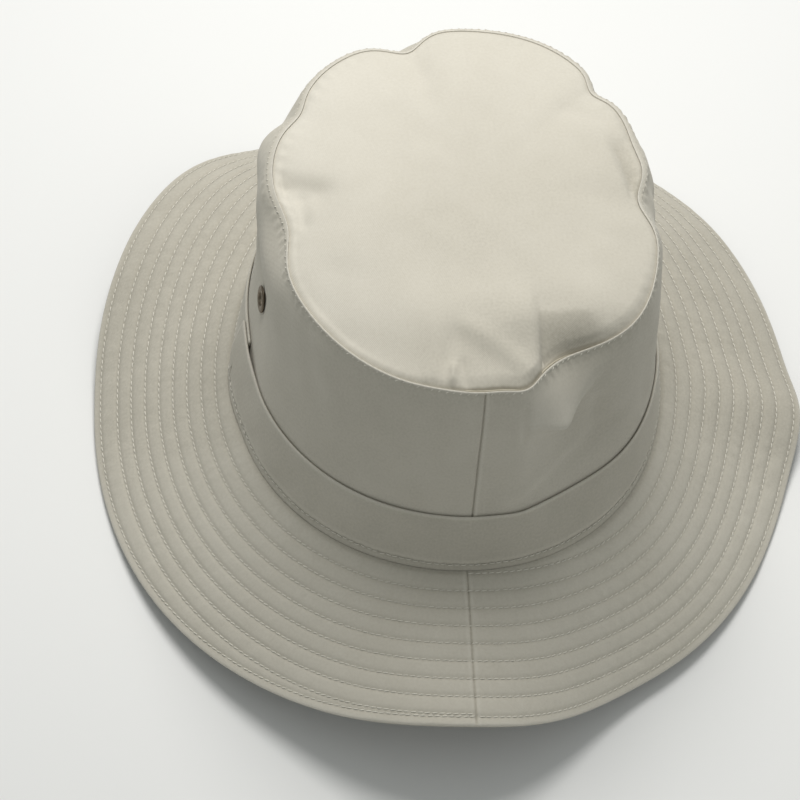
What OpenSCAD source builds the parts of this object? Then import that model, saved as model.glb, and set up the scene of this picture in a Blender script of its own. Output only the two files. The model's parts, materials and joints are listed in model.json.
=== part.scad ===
// Cotton sun hat with a wide quilted brim, a soft crown and four vent eyelets.
// Millimetres. The wearer faces -Y, the wearer's left is +X, and +Z is up.
// The hat stands on the low points of its brim edge, at z = 0.
// Azimuth turns from the centre back (+Y) towards the wearer's left (+X), in degrees.

/* [Crown] */
// Width of the crown at the brim seam, over the hatband
crown_w = 172; // [150:1:190]
// Length of the crown at the brim seam, over the hatband
crown_l = 212; // [180:1:230]
// Height of the crown wall, from the brim seam to the tip seam
crown_h = 94; // [70:1:120]
// Width of the oval tip panel
tip_w = 144; // [125:1:155]
// Length of the oval tip panel
tip_l = 172; // [150:1:190]
// How far the tip sits towards the face
tip_forward = 4; // [0:0.5:8]
// How far the tip leans towards the wearer's right
tip_sideways = 2; // [0:0.5:4]
// How much higher the tip seam is at the back than half way along
tip_back_rise = 2.5; // [0:0.5:6]
// Rise of the tip's middle above its seam
tip_dome = 6; // [2:0.5:12]
// How far the tip seam drops in its notch, right of the centre back
tip_notch_drop = 5; // [0:0.5:8]
// How far the deepest slack pushes the tip seam inwards
tip_slack_depth = 9.5; // [0:0.5:10]
// Height of the seam at front and back above its mean, and its fall at the sides
seam_saddle = 5.5; // [0:0.5:8]
// How far the brim seam departs from a true oval
egg_depth = 1.4; // [0:0.1:3]

/* [Brim] */
// Width of the brim from the seam to its edge, at front and sides
brim_w = 68; // [50:1:80]
// How much narrower the brim is at the centre back
brim_back_less = 7.5; // [0:0.5:12]
// Mean slope of the brim below level, in degrees
brim_droop = 31; // [20:1:36]
// Distance from the seam to the first row of quilting
first_row = 7.75; // [5:0.25:9]
// Distance between the rows of quilting
row_pitch = 6.9; // [5:0.1:8]
// Distance of the edge stitching from the brim's edge
edge_stitch_in = 3.5; // [3:0.25:5]

/* [Hatband and sweatband] */
// Height of the hatband
hatband_h = 29; // [20:0.5:40]
// Azimuth of the hatband's lapped join
lap_at = 84; // [60:6:120]
// Height of the hatband's row of stitching above its foot
hatband_stitch_h = 3.5; // [2.5:0.5:6]
// Height of the sweatband
sweatband_h = 32; // [25:1:40]

/* [Cloth] */
// Thickness of the crown and brim cloth
cloth_t = 0.7; // [0.4:0.1:1]
// Thickness of the stiff layer inside the brim
interlining_t = 0.7; // [0.4:0.1:1]
// Thickness of the folded hatband
hatband_t = 1.1; // [0.8:0.1:1.6]
// Thickness of the sweatband
sweatband_t = 1; // [0.6:0.1:1.6]
// Thickness of the seam tapes and the label
tape_t = 0.4; // [0.3:0.1:0.6]
// Space left between layers
ply_gap = 0.2; // [0.15:0.05:0.3]
// Space left under the threads
thread_gap = 0.3; // [0.2:0.05:0.5]
// Thickness of the sewing thread
thread_d = 0.5; // [0.3:0.05:0.6]

/* [Seams] */
// Depth of the cloth turned inside at each seam
seam_allowance = 8; // [6:0.5:10]
// Roll of the wall over the tip seam
shoulder_r = 1.2; // [0.8:0.1:2]
// Width of the tape over the tip seam
tip_tape_w = 11; // [10:0.5:14]
// Width of the tape over the back seam
back_tape_w = 12; // [8:1:16]
// Depth of the topstitching below the tip seam
topstitch_drop = 2; // [2:0.5:5]
// Width of the blank size label
label_w = 24; // [14:1:30]
// Height of the blank size label
label_h = 14; // [8:1:18]

/* [Vents] */
// Height of the vent eyelets above the hatband's top edge
vent_above_band = 24; // [16:1:32]
// Azimuth of the rear eyelet on the wearer's left, with its twin on the right
vent_rear_at = 84.5; // [78:0.5:90]
// Azimuth of the front eyelet on the wearer's left, with its twin on the right
vent_front_at = 110; // [102:0.5:118]
// Radius of the hole through an eyelet
vent_bore_r = 2.4; // [1.5:0.1:3]
// Radius of an eyelet's flange and of its washer
vent_flange_r = 5.4; // [4.5:0.1:6.5]
// Thickness of an eyelet's metal
vent_metal_t = 0.5; // [0.3:0.1:0.8]

/* [Hidden] */

cloth_colour = [0.80, 0.75, 0.64];
shade_colour = [0.68, 0.64, 0.54];
thread_colour = [0.90, 0.86, 0.76];
tape_colour = [0.86, 0.83, 0.75];
metal_colour = [0.30, 0.26, 0.20];

segments = 60;
step = 360 / segments;
round_fn = 48;
// The holes punched in the cloth are plain twelve-sided ones.
punched_sides = 12;

// The brim's slope at 12 azimuths, as degrees away from the mean.
brim_sag = [-21, -3, 3, 2.2, -4.5, 19, 9, 12, 1, -1, 6, 3];
// Soft ripples of the brim: azimuth, degrees of slope, half width.
brim_ripples = [[342, 9, 16], [275, -5, 7], [141, -16, 17]];
// Slack of the tip seam: azimuth, share of the slack's depth outwards, half width.
tip_slack = [[84, -0.58, 11], [123, -0.26, 6], [165, -0.84, 8], [231, -0.42, 5], [268, -0.68, 11],
             [329, -1, 13.4], [110, 0.16, 12], [140, 0.29, 15], [212, 0.29, 20], [310, 0.53, 26],
             [346.5, 0.26, 5], [12, -0.06, 9]];
// The notch where the tip seam drops: azimuth, half width.
tip_notch = [328, 12];
// The head's egg shape, as the shares of three slow waves of the brim seam.
seam_egg = [0.36, -1, -0.71];

// Places of the layers, measured outwards from the face of the hatband.
wall_out = -(hatband_t + ply_gap);
wall_in = wall_out - cloth_t;
top_turn_out = wall_in - ply_gap;
under_turn_out = top_turn_out - cloth_t - ply_gap;
sweatband_out = under_turn_out - cloth_t - ply_gap;
label_out = sweatband_out - sweatband_t - ply_gap;
// Places of the brim's layers, measured down from its upper face.
interlining_top = -(cloth_t + ply_gap);
under_top = interlining_top - interlining_t - ply_gap;
under_face = under_top - cloth_t;
edge_round = 0.3;

// --- Curves -----------------------------------------------------------------

function wrap(a) = (a % 360 + 360) % 360;
function turn(a, b) = wrap(a - b + 180) - 180;
function bell(a, at, width) = exp(-pow(turn(a, at) / width, 2));
function ease(x) = let(c = min(max(x, 0), 1)) c * c * (3 - 2 * c);
function total(v, i = 0) = i < len(v) ? v[i] + total(v, i + 1) : 0;

// A smooth closed curve through evenly spaced values.
function wave(v, a) =
    let(n = len(v), u = wrap(a) / 360 * n, i = floor(u), f = u - i,
        p = v[(i + n - 1) % n], q = v[i % n], r = v[(i + 1) % n], s = v[(i + 2) % n])
    q + 0.5 * f * (r - p + f * (2 * p - 5 * q + 4 * r - s + f * (3 * (q - r) + s - p)));

// A point on the flat facet between two of the crown's ribs.
function between(a, point) =
    let(i = floor(a / step), f = a / step - i) point(i * step) * (1 - f) + point((i + 1) * step) * f;

// Level direction straight out of an oval of the given width and length.
function oval_out(a, w, l) =
    let(x = sin(a) * l, y = cos(a) * w, n = norm([x, y])) [x / n, y / n, 0];

function egg(a) =
    egg_depth * (seam_egg[0] * sin(2 * a) + seam_egg[1] * cos(3 * a) + seam_egg[2] * sin(3 * a));
function out(a) = oval_out(a, crown_w, crown_l);
function seam(a) =
    [crown_w / 2 * sin(a), crown_l / 2 * cos(a), seam_saddle * cos(2 * a)] + out(a) * egg(a);

function slack(a) = tip_slack_depth * total([for (s = tip_slack) s[1] * bell(a, s[0], s[2])]);
function notch(a) = tip_notch_drop * bell(a, tip_notch[0], tip_notch[1]);
function tip_seam(a) =
    [tip_w / 2 * sin(a) - tip_sideways, tip_l / 2 * cos(a) - tip_forward,
     crown_h + tip_back_rise * cos(a) - notch(a)] + oval_out(a, tip_w, tip_l) * slack(a);

// The crown at height share t, moved outwards by o.
function crown(a, t, o) = seam(a) * (1 - t) + tip_seam(a) * t + out(a) * o;
// The same, h millimetres above the brim seam.
function crown_up(a, h, o) = crown(a, h / crown_h, o);
// And h millimetres down from the tip seam.
function crown_down(a, h, o) = crown(a, 1 - h / crown_h, o);

// The crown wall leaves the hatband's line near the top and rolls over the tip seam.
function wall_bulge(t) = (shoulder_r - wall_out) * ease((t - 0.3) / 0.6);
function wall_face(a, h, o = 0) = crown_up(a, h, wall_out + wall_bulge(h / crown_h) + o);

// The brim's slope, width, and a point u along it from the seam and v above its face.
function droop(a) =
    brim_droop + wave(brim_sag, a) + total([for (r = brim_ripples) r[1] * bell(a, r[0], r[2])]);
function brim_width(a) = brim_w - brim_back_less * pow(max(cos(a), 0), 3);
function brim(a, u, v) =
    let(s = droop(a), o = out(a))
    seam(a) + (o * cos(s) - [0, 0, sin(s)]) * u + (o * sin(s) + [0, 0, cos(s)]) * v;
// A point beside the seam, o outwards and v above the brim's face.
function beside(a, o, v) = seam(a) + out(a) * o + [0, 0, v];

// The whole hat is centred on the brim's outline and lifted to stand on its lowest points.
around = [for (i = [0 : segments - 1]) i * step];
rim = [for (a = around) brim(a, brim_width(a), -edge_round)];
rim_low = [for (a = around) each [brim(a, brim_width(a) - edge_round, under_face),
                                  brim(a, brim_width(a), under_face + edge_round)]];
rim_x = [for (p = rim) p[0]];
rim_y = [for (p = rim) p[1]];
place = -[(max(rim_x) + min(rim_x)) / 2, (max(rim_y) + min(rim_y)) / 2,
          min([for (p = rim_low) p[2]])];

// --- Solids from rows of points --------------------------------------------

// Two triangles for the four corners of a facet, split along p to r, or along q to s.
function split(p, q, r, s, other) = other ? [[p, q, s], [q, r, s]] : [[p, q, r], [p, r, s]];

// A cross-section: the points along its outer face, and those along its back, both from foot to
// head. Both sides are split along the same diagonal, so that neighbouring layers stay parallel.
function section(face, back) = concat([for (i = [len(face) - 1 : -1 : 0]) face[i]], back);

// A closed band: each ring is a section with this many face points, and the last joins the first.
module closed_band(rings, face_points) {
    n = len(rings);
    m = len(rings[0]);
    corner = function (i, j) (i % n) * m + j % m;
    polyhedron([for (r = rings) each r],
               [for (i = [0 : n - 1], j = [0 : m - 1])
                each split(corner(i, j), corner(i, j + 1), corner(i + 1, j + 1), corner(i + 1, j),
                           j >= face_points - 1)],
               convexity = 10);
}

// An open strip with its two ends closed.
module open_strip(rings, face_points) {
    n = len(rings);
    m = len(rings[0]);
    corner = function (i, j) i * m + j % m;
    polyhedron([for (r = rings) each r],
               concat([for (i = [0 : n - 2], j = [0 : m - 1])
                       each split(corner(i, j), corner(i, j + 1), corner(i + 1, j + 1),
                                  corner(i + 1, j), j >= face_points - 1)],
                      [[for (j = [m - 1 : -1 : 0]) corner(0, j)],
                       [for (j = [0 : m - 1]) corner(n - 1, j)]]),
               convexity = 10);
}

// A panel: rings spread from a first pole over its face, and close again to a last pole.
module panel(first, rings, last, face_rings) {
    n = len(rings);
    m = len(rings[0]);
    corner = function (i, j) 1 + i * m + j % m;
    end = 1 + n * m;
    polyhedron(concat([first], [for (r = rings) each r], [last]),
               concat([for (j = [0 : m - 1]) [0, corner(0, j), corner(0, j + 1)]],
                      [for (i = [0 : n - 2], j = [0 : m - 1])
                       each split(corner(i, j), corner(i + 1, j), corner(i + 1, j + 1),
                                  corner(i, j + 1), i >= face_rings - 1)],
                      [for (j = [0 : m - 1]) [end, corner(n - 1, j + 1), corner(n - 1, j)]]),
               convexity = 10);
}

// The cross-section of a thread that lies on p, from side to side and away from the cloth.
function thread_ring(p, side, away) =
    [p - side * thread_d / 2, p + away * thread_d * 0.9, p + side * thread_d / 2];
thread_points = 2;

// --- Crown ------------------------------------------------------------------

wall_heights = [0.14, 0.3, 0.5, 0.7, 0.84, 0.94];
wall_points = len(wall_heights) + 4;
function wall_ring(a) =
    let(lip = ply_gap / 2)
    section(concat([beside(a, wall_out, ply_gap)],
                   [for (t = wall_heights) wall_face(a, t * crown_h)],
                   [crown_down(a, shoulder_r, shoulder_r),
                    crown_down(a, shoulder_r * 0.3, shoulder_r * 0.7),
                    crown_down(a, 0, lip)]),
            concat([beside(a, wall_in, ply_gap)],
                   [for (t = wall_heights) wall_face(a, t * crown_h, -cloth_t)],
                   [crown_down(a, shoulder_r, max(shoulder_r - cloth_t, 2 * lip)),
                    crown_down(a, cloth_t, lip)]));

module crown_wall() color(cloth_colour) translate(place) difference() {
    closed_band([for (a = around) wall_ring(a)], wall_points);
    for (a = vent_azimuths) at_vent(a)
        cylinder(h = 4 * vent_flange_r, r = vent_barrel_r + ply_gap, center = true, $fn = punched_sides);
}

tip_shares = [0.25, 0.48, 0.66, 0.8, 0.9, 0.97];
tip_centre = [-tip_sideways, -tip_forward, crown_h];
// A flat dome, which keeps its height beside the notch and falls steeply to it.
function tip_rise(a, q) = tip_dome * (1 - pow(q, 4)) + notch(a) * (q - pow(q, 12));
function tip_face(a, q, down = 0) =
    tip_centre * (1 - q) + (tip_seam(a) - out(a) * ply_gap / 2) * q + [0, 0, tip_rise(a, q) - down];
// The turned-down edge follows the wall's lean.
function tip_turn(a, h, o) = crown_down(a, h, o - ply_gap / 2);

module crown_tip() color(cloth_colour) translate(place)
    panel(tip_centre + [0, 0, tip_dome],
          concat([for (q = tip_shares) [for (a = around) tip_face(a, q)]],
                 [[for (a = around) tip_turn(a, 0, 0)],
                  [for (a = around) tip_turn(a, seam_allowance, 0)],
                  [for (a = around) tip_turn(a, seam_allowance, -cloth_t)],
                  [for (a = around) tip_turn(a, cloth_t, -cloth_t)]],
                 [for (i = [len(tip_shares) - 1 : -1 : 0])
                  [for (a = around) tip_face(a, tip_shares[i] - cloth_t / tip_w, cloth_t)]]),
          tip_centre + [0, 0, tip_dome - cloth_t], len(tip_shares) + 2);

// --- Hatband and sweatband ---------------------------------------------------

// The band's far end climbs over its near end.
lap_climb = 12;
function lap_lift(s) = (hatband_t + ply_gap) * ease((s - (360 - lap_climb)) / lap_climb);
lap_turns = segments + 1;
hatband_levels = [0.5, 1];
function hatband_line(a, o) =
    concat([beside(a, o, ply_gap)],
           [for (k = hatband_levels) wall_face(a, k * hatband_h, o - wall_out)]);
function hatband_ring(s) =
    let(a = lap_at + s, lift = lap_lift(s))
    section(hatband_line(a, lift), hatband_line(a, lift - hatband_t));
module hatband() color(cloth_colour) translate(place)
    open_strip([for (i = [0 : lap_turns]) hatband_ring(i * step)], len(hatband_levels) + 1);

sweatband_levels = [0, 0.3, 0.65, 1];
function sweatband_line(a, o) = [for (k = sweatband_levels) crown_up(a, k * sweatband_h, o)];
module sweatband() color(shade_colour) translate(place)
    closed_band([for (a = around) section(sweatband_line(a, sweatband_out),
                                          sweatband_line(a, sweatband_out - sweatband_t))],
                len(sweatband_levels));

// --- Brim ---------------------------------------------------------------------

brim_steps = 6;
brim_points = brim_steps + 1;
// From the brim's edge in to the seam.
function brim_line(a, v, last) =
    concat([for (k = [brim_steps : -1 : 1]) brim(a, last * k / brim_steps, v)], [beside(a, 0, v)]);
// The upper and lower cloths turn up inside the crown, and meet at the brim's edge.
rim_joint = (under_face - ply_gap) / 2;

function top_cloth_ring(a) =
    let(w = brim_width(a), o = top_turn_out, joint = rim_joint + ply_gap)
    section(concat([brim(a, w, -edge_round)], brim_line(a, 0, w - edge_round),
                   [beside(a, o, 0), crown_up(a, seam_allowance, o)]),
            concat([brim(a, w, joint), brim(a, w - cloth_t, joint)],
                   brim_line(a, -cloth_t, w - cloth_t),
                   [crown_up(a, -cloth_t, o - cloth_t), crown_up(a, seam_allowance, o - cloth_t)]));
module brim_top_cloth() color(cloth_colour) translate(place)
    closed_band([for (a = around) top_cloth_ring(a)], brim_points + 3);

function interlining_line(a, v) =
    concat(brim_line(a, v, brim_width(a) - cloth_t - ply_gap), [beside(a, -hatband_t, v)]);
module brim_interlining() color(tape_colour) translate(place)
    closed_band([for (a = around)
                 section(interlining_line(a, interlining_top),
                         interlining_line(a, interlining_top - interlining_t))],
                brim_points + 1);

function under_cloth_ring(a) =
    let(w = brim_width(a), o = under_turn_out)
    section(concat([brim(a, w, rim_joint), brim(a, w - cloth_t, rim_joint)],
                   brim_line(a, under_top, w - cloth_t),
                   [crown_up(a, under_top, o), crown_up(a, seam_allowance, o)]),
            concat([brim(a, w, under_face + edge_round)],
                   brim_line(a, under_face, w - edge_round),
                   [crown_up(a, under_face, o - cloth_t), crown_up(a, seam_allowance, o - cloth_t)]));
module brim_under_cloth() color(shade_colour) translate(place)
    closed_band([for (a = around) under_cloth_ring(a)], brim_points + 4);

// --- Tapes and label ------------------------------------------------------------

tip_tape_out = -(cloth_t + ply_gap);
tip_tape_top = cloth_t + ply_gap;
function tip_tape_line(a, o) = [tip_turn(a, tip_tape_w, o), tip_turn(a, tip_tape_top, o)];
module tip_seam_tape() color(tape_colour) translate(place)
    closed_band([for (a = around) section(tip_tape_line(a, tip_tape_out),
                                          tip_tape_line(a, tip_tape_out - tape_t))], 2);

// A patch at the centre back, made of level cross-sections between two heights.
patch_rows = 6;
patch_columns = [1 : -0.5 : -1];
function patch_ring(half, face, back) =
    section([for (k = patch_columns) between(k * half, face)],
            [for (k = patch_columns) between(k * half, back)]);
back_tape_foot = seam_allowance + ply_gap;
back_tape_top = crown_h - tip_tape_w - ply_gap;
back_tape_half = back_tape_w / crown_w * 180 / PI;
module back_seam_tape() color(tape_colour) translate(place)
    open_strip([for (i = [0 : patch_rows])
                let(h = back_tape_foot + (back_tape_top - back_tape_foot) * i / patch_rows)
                patch_ring(back_tape_half,
                           function (a) wall_face(a, h, -cloth_t - ply_gap),
                           function (a) wall_face(a, h, -cloth_t - ply_gap - tape_t))],
               len([for (k = patch_columns) k]));

label_half = label_w / crown_w * 180 / PI;
label_foot = (sweatband_h - label_h) / 2;
module size_label() color(tape_colour) translate(place)
    open_strip([for (h = [label_foot, label_foot + label_h])
                patch_ring(label_half,
                           function (a) crown_up(a, h, label_out),
                           function (a) crown_up(a, h, label_out - tape_t))],
               len([for (k = patch_columns) k]));

// --- Vents ------------------------------------------------------------------------

vent_azimuths = [vent_rear_at, vent_front_at, -vent_rear_at, -vent_front_at];
vent_h = hatband_h + vent_above_band;
vent_barrel_r = vent_bore_r + vent_metal_t;
vent_roll = 0.7;
probe = 1;
function wall_spot(a, h, o) = between(a, function (b) wall_face(b, h, o));
function vent_out(a) =
    let(side = wall_spot(a + probe, vent_h, 0) - wall_spot(a - probe, vent_h, 0),
        up = wall_spot(a, vent_h + probe, 0) - wall_spot(a, vent_h - probe, 0),
        n = cross(up, side))
    n / norm(n);
// How far the wall's outer or inner face reaches along the vent's axis, under the flange.
function vent_reach(a, o) =
    let(spot = wall_spot(a, vent_h, 0), n = vent_out(a), degree = crown_w / 2 * PI / 180)
    [for (q = [0, 0.5, 1], b = [0 : 30 : 330])
     (wall_spot(a + q * vent_flange_r * cos(b) / degree, vent_h + q * vent_flange_r * sin(b), o) - spot) * n];
function vent_seat_out(a) = max(vent_reach(a, 0)) + ply_gap;
function vent_seat_in(a) = min(vent_reach(a, -cloth_t)) - ply_gap;
module at_vent(a) {
    n = vent_out(a);
    translate(wall_spot(a, vent_h, 0)) rotate([0, acos(n[2]), atan2(n[1], n[0])]) children();
}

module eyelet(a) {
    face = vent_seat_out(a);
    foot = vent_seat_in(a) - vent_metal_t - ply_gap - vent_metal_t;
    color(metal_colour) translate(place) at_vent(a) rotate_extrude($fn = round_fn)
        polygon([[vent_bore_r, foot], [vent_barrel_r + vent_roll, foot],
                 [vent_barrel_r + vent_roll, foot + vent_metal_t],
                 [vent_barrel_r, foot + vent_metal_t], [vent_barrel_r, face],
                 [vent_flange_r, face], [vent_flange_r, face + vent_metal_t / 2],
                 [vent_flange_r - vent_metal_t, face + vent_metal_t],
                 [vent_barrel_r + vent_metal_t, face + 2 * vent_metal_t],
                 [vent_barrel_r, face + 2 * vent_metal_t], [vent_bore_r, face + vent_metal_t]]);
}

module washer(a)
    color(metal_colour) translate(place) at_vent(a)
        translate([0, 0, vent_seat_in(a) - vent_metal_t]) difference() {
            cylinder(h = vent_metal_t, r = vent_flange_r, $fn = round_fn);
            translate([0, 0, -1])
                cylinder(h = vent_metal_t + 2, r = vent_barrel_r + ply_gap, $fn = round_fn);
        }

module vent_eyelet_left_rear() eyelet(vent_azimuths[0]);
module vent_eyelet_left_front() eyelet(vent_azimuths[1]);
module vent_eyelet_right_rear() eyelet(vent_azimuths[2]);
module vent_eyelet_right_front() eyelet(vent_azimuths[3]);
module vent_washer_left_rear() washer(vent_azimuths[0]);
module vent_washer_left_front() washer(vent_azimuths[1]);
module vent_washer_right_rear() washer(vent_azimuths[2]);
module vent_washer_right_front() washer(vent_azimuths[3]);

// --- Threads ------------------------------------------------------------------------

up = [0, 0, 1];
module tip_topstitch() color(thread_colour) translate(place)
    closed_band([for (a = around)
                 thread_ring(wall_face(a, crown_h - topstitch_drop, thread_gap), -up, out(a))],
                thread_points);

function brim_thread(a, u) =
    let(p = brim(a, u, thread_gap))
    thread_ring(p, brim(a, u + 1, thread_gap) - p, brim(a, u, thread_gap + 1) - p);
function edge_line(a) = brim_width(a) - edge_stitch_in;
module brim_edge_stitch() color(thread_colour) translate(place)
    closed_band([for (a = around) brim_thread(a, edge_line(a))], thread_points);

// The rows are one thread that spirals outwards, moving over just right of the centre back.
move_over = 54;
row_count = floor((brim_w - first_row - edge_stitch_in) / row_pitch);
function row_line(s) =
    let(turns = floor(s / 360))
    min(first_row + row_pitch * (turns - 1 + ease((s - turns * 360) / move_over)),
        edge_line(-s) - 2 * thread_d);
module brim_quilting() color(thread_colour) translate(place)
    open_strip([for (i = [row_count * segments : -1 : 1]) brim_thread(-i * step, row_line(i * step))],
               thread_points);

module hatband_stitch() color(thread_colour) translate(place)
    open_strip([for (i = [2 : lap_turns])
                let(a = lap_at + i * step)
                thread_ring(wall_face(a, hatband_stitch_h, lap_lift(i * step) - wall_out + thread_gap),
                            -up, out(a))], thread_points);

crown_wall();
crown_tip();
hatband();
brim_top_cloth();
brim_interlining();
brim_under_cloth();
sweatband();
tip_seam_tape();
back_seam_tape();
size_label();
vent_eyelet_left_rear();
vent_eyelet_left_front();
vent_eyelet_right_rear();
vent_eyelet_right_front();
vent_washer_left_rear();
vent_washer_left_front();
vent_washer_right_rear();
vent_washer_right_front();
tip_topstitch();
brim_quilting();
brim_edge_stitch();
hatband_stitch();
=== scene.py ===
"""A cotton boonie hat with a quilted brim: its cloth, stitching, eyelets and studio."""
import json
import math

import bpy
import numpy as np
from bpy.props import FloatProperty, FloatVectorProperty, PointerProperty
from mathutils import Matrix, Vector


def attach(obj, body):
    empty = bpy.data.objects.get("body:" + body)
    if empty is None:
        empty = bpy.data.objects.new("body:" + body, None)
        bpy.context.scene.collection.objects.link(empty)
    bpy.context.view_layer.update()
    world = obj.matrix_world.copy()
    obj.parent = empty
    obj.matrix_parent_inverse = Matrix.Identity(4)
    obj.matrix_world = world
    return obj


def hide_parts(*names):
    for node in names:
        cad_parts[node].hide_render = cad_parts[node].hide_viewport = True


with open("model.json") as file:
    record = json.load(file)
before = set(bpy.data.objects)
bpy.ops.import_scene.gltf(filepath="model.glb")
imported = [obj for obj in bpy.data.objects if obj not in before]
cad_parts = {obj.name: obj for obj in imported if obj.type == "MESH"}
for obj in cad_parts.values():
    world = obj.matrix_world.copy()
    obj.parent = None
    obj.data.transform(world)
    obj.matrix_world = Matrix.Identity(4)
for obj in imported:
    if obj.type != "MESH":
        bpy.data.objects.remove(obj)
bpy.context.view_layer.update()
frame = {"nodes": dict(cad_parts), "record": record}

bl_info = {
    "name": "Boonie hat",
    "version": (1, 0, 0),
    "blender": (4, 5, 0),
    "location": "3D View > Sidebar > Boonie hat",
    "description": "Dresses the boonie hat's frame with cloth, stitching and eyelets",
    "category": "Object",
}

MOUNTS = {m["name"]: m for m in frame["record"]["mounts"]}
# The centre of the brim seam in the frame, in millimetres.
SEAM_CENTRE = np.array(MOUNTS["head_opening"]["pos_m"]) * 1000
MM = 0.001
# One radian in degrees, rounded.
RADIAN = 57.3
# How many waves are added up for an uneven surface.
WAVES = 14
# The level of wear and painted light for cloth that is not rubbed and has no painted highlight and
# no painted shade, between 0 and 1.
EVEN = 0.5

# The brim's slope at 12 azimuths, as degrees away from the mean.
BRIM_SAG = (-21, -3, 3, 2.2, -4.5, 19, 9, 12, 1, -1, 6, 3)
# Soft ripples of the brim: azimuth, degrees of slope, half width.
BRIM_RIPPLES = ((342, 9, 16), (275, -5, 7), (141, -16, 17))
# Slack of the tip seam: azimuth, share of the slack's depth outwards, half width.
TIP_SLACK = (
    (84, -0.58, 11), (123, -0.26, 6), (165, -0.84, 8), (231, -0.42, 5), (270.5, -0.66, 8),
    (253, -0.16, 7), (329, -1, 13.4), (110, 0.16, 12), (140, 0.29, 15), (212, 0.29, 20),
    (310, 0.53, 26), (346.5, 0.26, 5), (12, -0.06, 9),
)
# Puffs of the wall below the tip seam: azimuth, half width, millimetres outwards.
WALL_PUFFS = (
    (84, 11, 4.2), (118, 9, 4.4), (165, 8, 6.0), (231, 5, 2.5), (243, 9, -2.0), (268, 11, 2.6),
    (329, 13.4, 1.6),
)
# The notch where the tip seam drops: azimuth, half width.
TIP_NOTCH = (328, 12)
# How the tip sinks beside its seam: azimuth, half width, millimetres down, millimetres across.
TIP_SINKS = ((356, 12, 1.2, 3.4), (331, 11, 1.2, 2.6))
# The head's egg shape, as the shares of three slow waves of the brim seam.
SEAM_EGG = (0.36, -1, -0.71)

# Folds of the crown's wall: from azimuth and height to azimuth and height, width, height.
WALL_FOLDS = (
    (347, 84, 347, 66, 2.0, -0.8),
    (321.5, 66, 321, 53, 4, -1.0), (330, 50, 351, 36, 4.5, 0.9),
    (318, 84, 312, 50, 7, 0.8), (306, 84, 303, 44, 6, -0.8), (318, 52, 345, 32, 4.5, -0.6),
    (349, 76, 348, 66, 3, 0.6), (262, 92, 266, 62, 5, -1.6), (253, 90, 250, 60, 6, 1.0),
    (276, 88, 280, 50, 6, 0.9), (98, 92, 100, 60, 7, 0.8), (70, 84, 62, 48, 8, 0.7),
    (56, 88, 47, 60, 5, -0.6), (40, 84, 30, 50, 9, -0.6), (24, 74, 14, 40, 7, 0.6),
    (34, 40, 12, 34, 5, 0.4), (165, 92, 163, 55, 5, -1.4), (231, 92, 229, 64, 4, -1.0),
    (123, 92, 122, 66, 4, -0.8),
)
# Folds of the tip: from azimuth and share of the radius to the same, width on the two sides of
# the line, height.
TIP_FOLDS = (
    (8, 1.02, 8, 0.9, 1.1, 1.1, 1.1), (11.5, 1.0, 11, 0.88, 1.8, 1.8, -0.7),
    (4, 1.0, 5, 0.88, 1.8, 1.8, -0.8), (10, 0.83, 7.5, 0.76, 4, 4, -0.8),
    (2, 0.72, 344, 0.94, 4, 4, 1.2), (25, 0.66, 345, 0.66, 13, 13, 2.0),
    (330, 0.77, 337, 0.98, 2.6, 10, -1.6), (342, 0.72, 316, 0.84, 9, 18, 2.0),
    (16, 0.74, 13, 0.94, 5, 5, 0.6), (254, 0.9, 268, 0.985, 2.2, 8, -2.2),
    (240, 0.88, 231, 0.8, 4, 4, -0.7), (98, 0.98, 95.5, 0.8, 7, 5, -2.4),
    (93, 0.88, 84, 0.91, 2.5, 2.5, -1.0), (40, 0.96, 22, 0.9, 7, 7, -0.5),
    (165, 0.98, 166, 0.8, 5, 5, -0.8), (300, 0.94, 296, 0.74, 6, 6, 0.6),
    (55, 0.93, 60, 0.8, 6, 6, -0.5),
)
# Painted shade in the tip's creases: the same, with a share of tone.
TIP_CREASE_SHADES = (
    (100, 0.96, 98, 0.77, 3, 4, -0.08), (14, 0.86, 340, 0.86, 13, 13, -0.07),
    (254, 0.9, 268, 0.985, 1.0, 5, -0.2), (330, 0.9, 322, 0.96, 3, 3, -0.05),
)
# Facets of the tip beside its creases: the corners, clockwise from above, as azimuth, share of the
# radius and softness of the edge that starts there, then the drop and the tone of the painted shade
# on the facet.
TIP_FACETS = (
    (((332.5, 0.76, 2.0), (314, 0.87, 8), (316, 1.04, 4), (342, 1.04, 1.6)), -0.1, -0.17),
)


def length(name, default, about):
    """A size in metres that a user can change."""
    return FloatProperty(name=name, description=about, default=default, unit="LENGTH", precision=4)


def colour(name, default, about):
    """A colour that a user can change."""
    return FloatVectorProperty(
        name=name, description=about, default=default, subtype="COLOR", size=3, min=0, max=1
    )


def power(name, default, about):
    """A light's power that a user can change."""
    return FloatProperty(name=name, description=about, default=default, unit="POWER")


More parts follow.
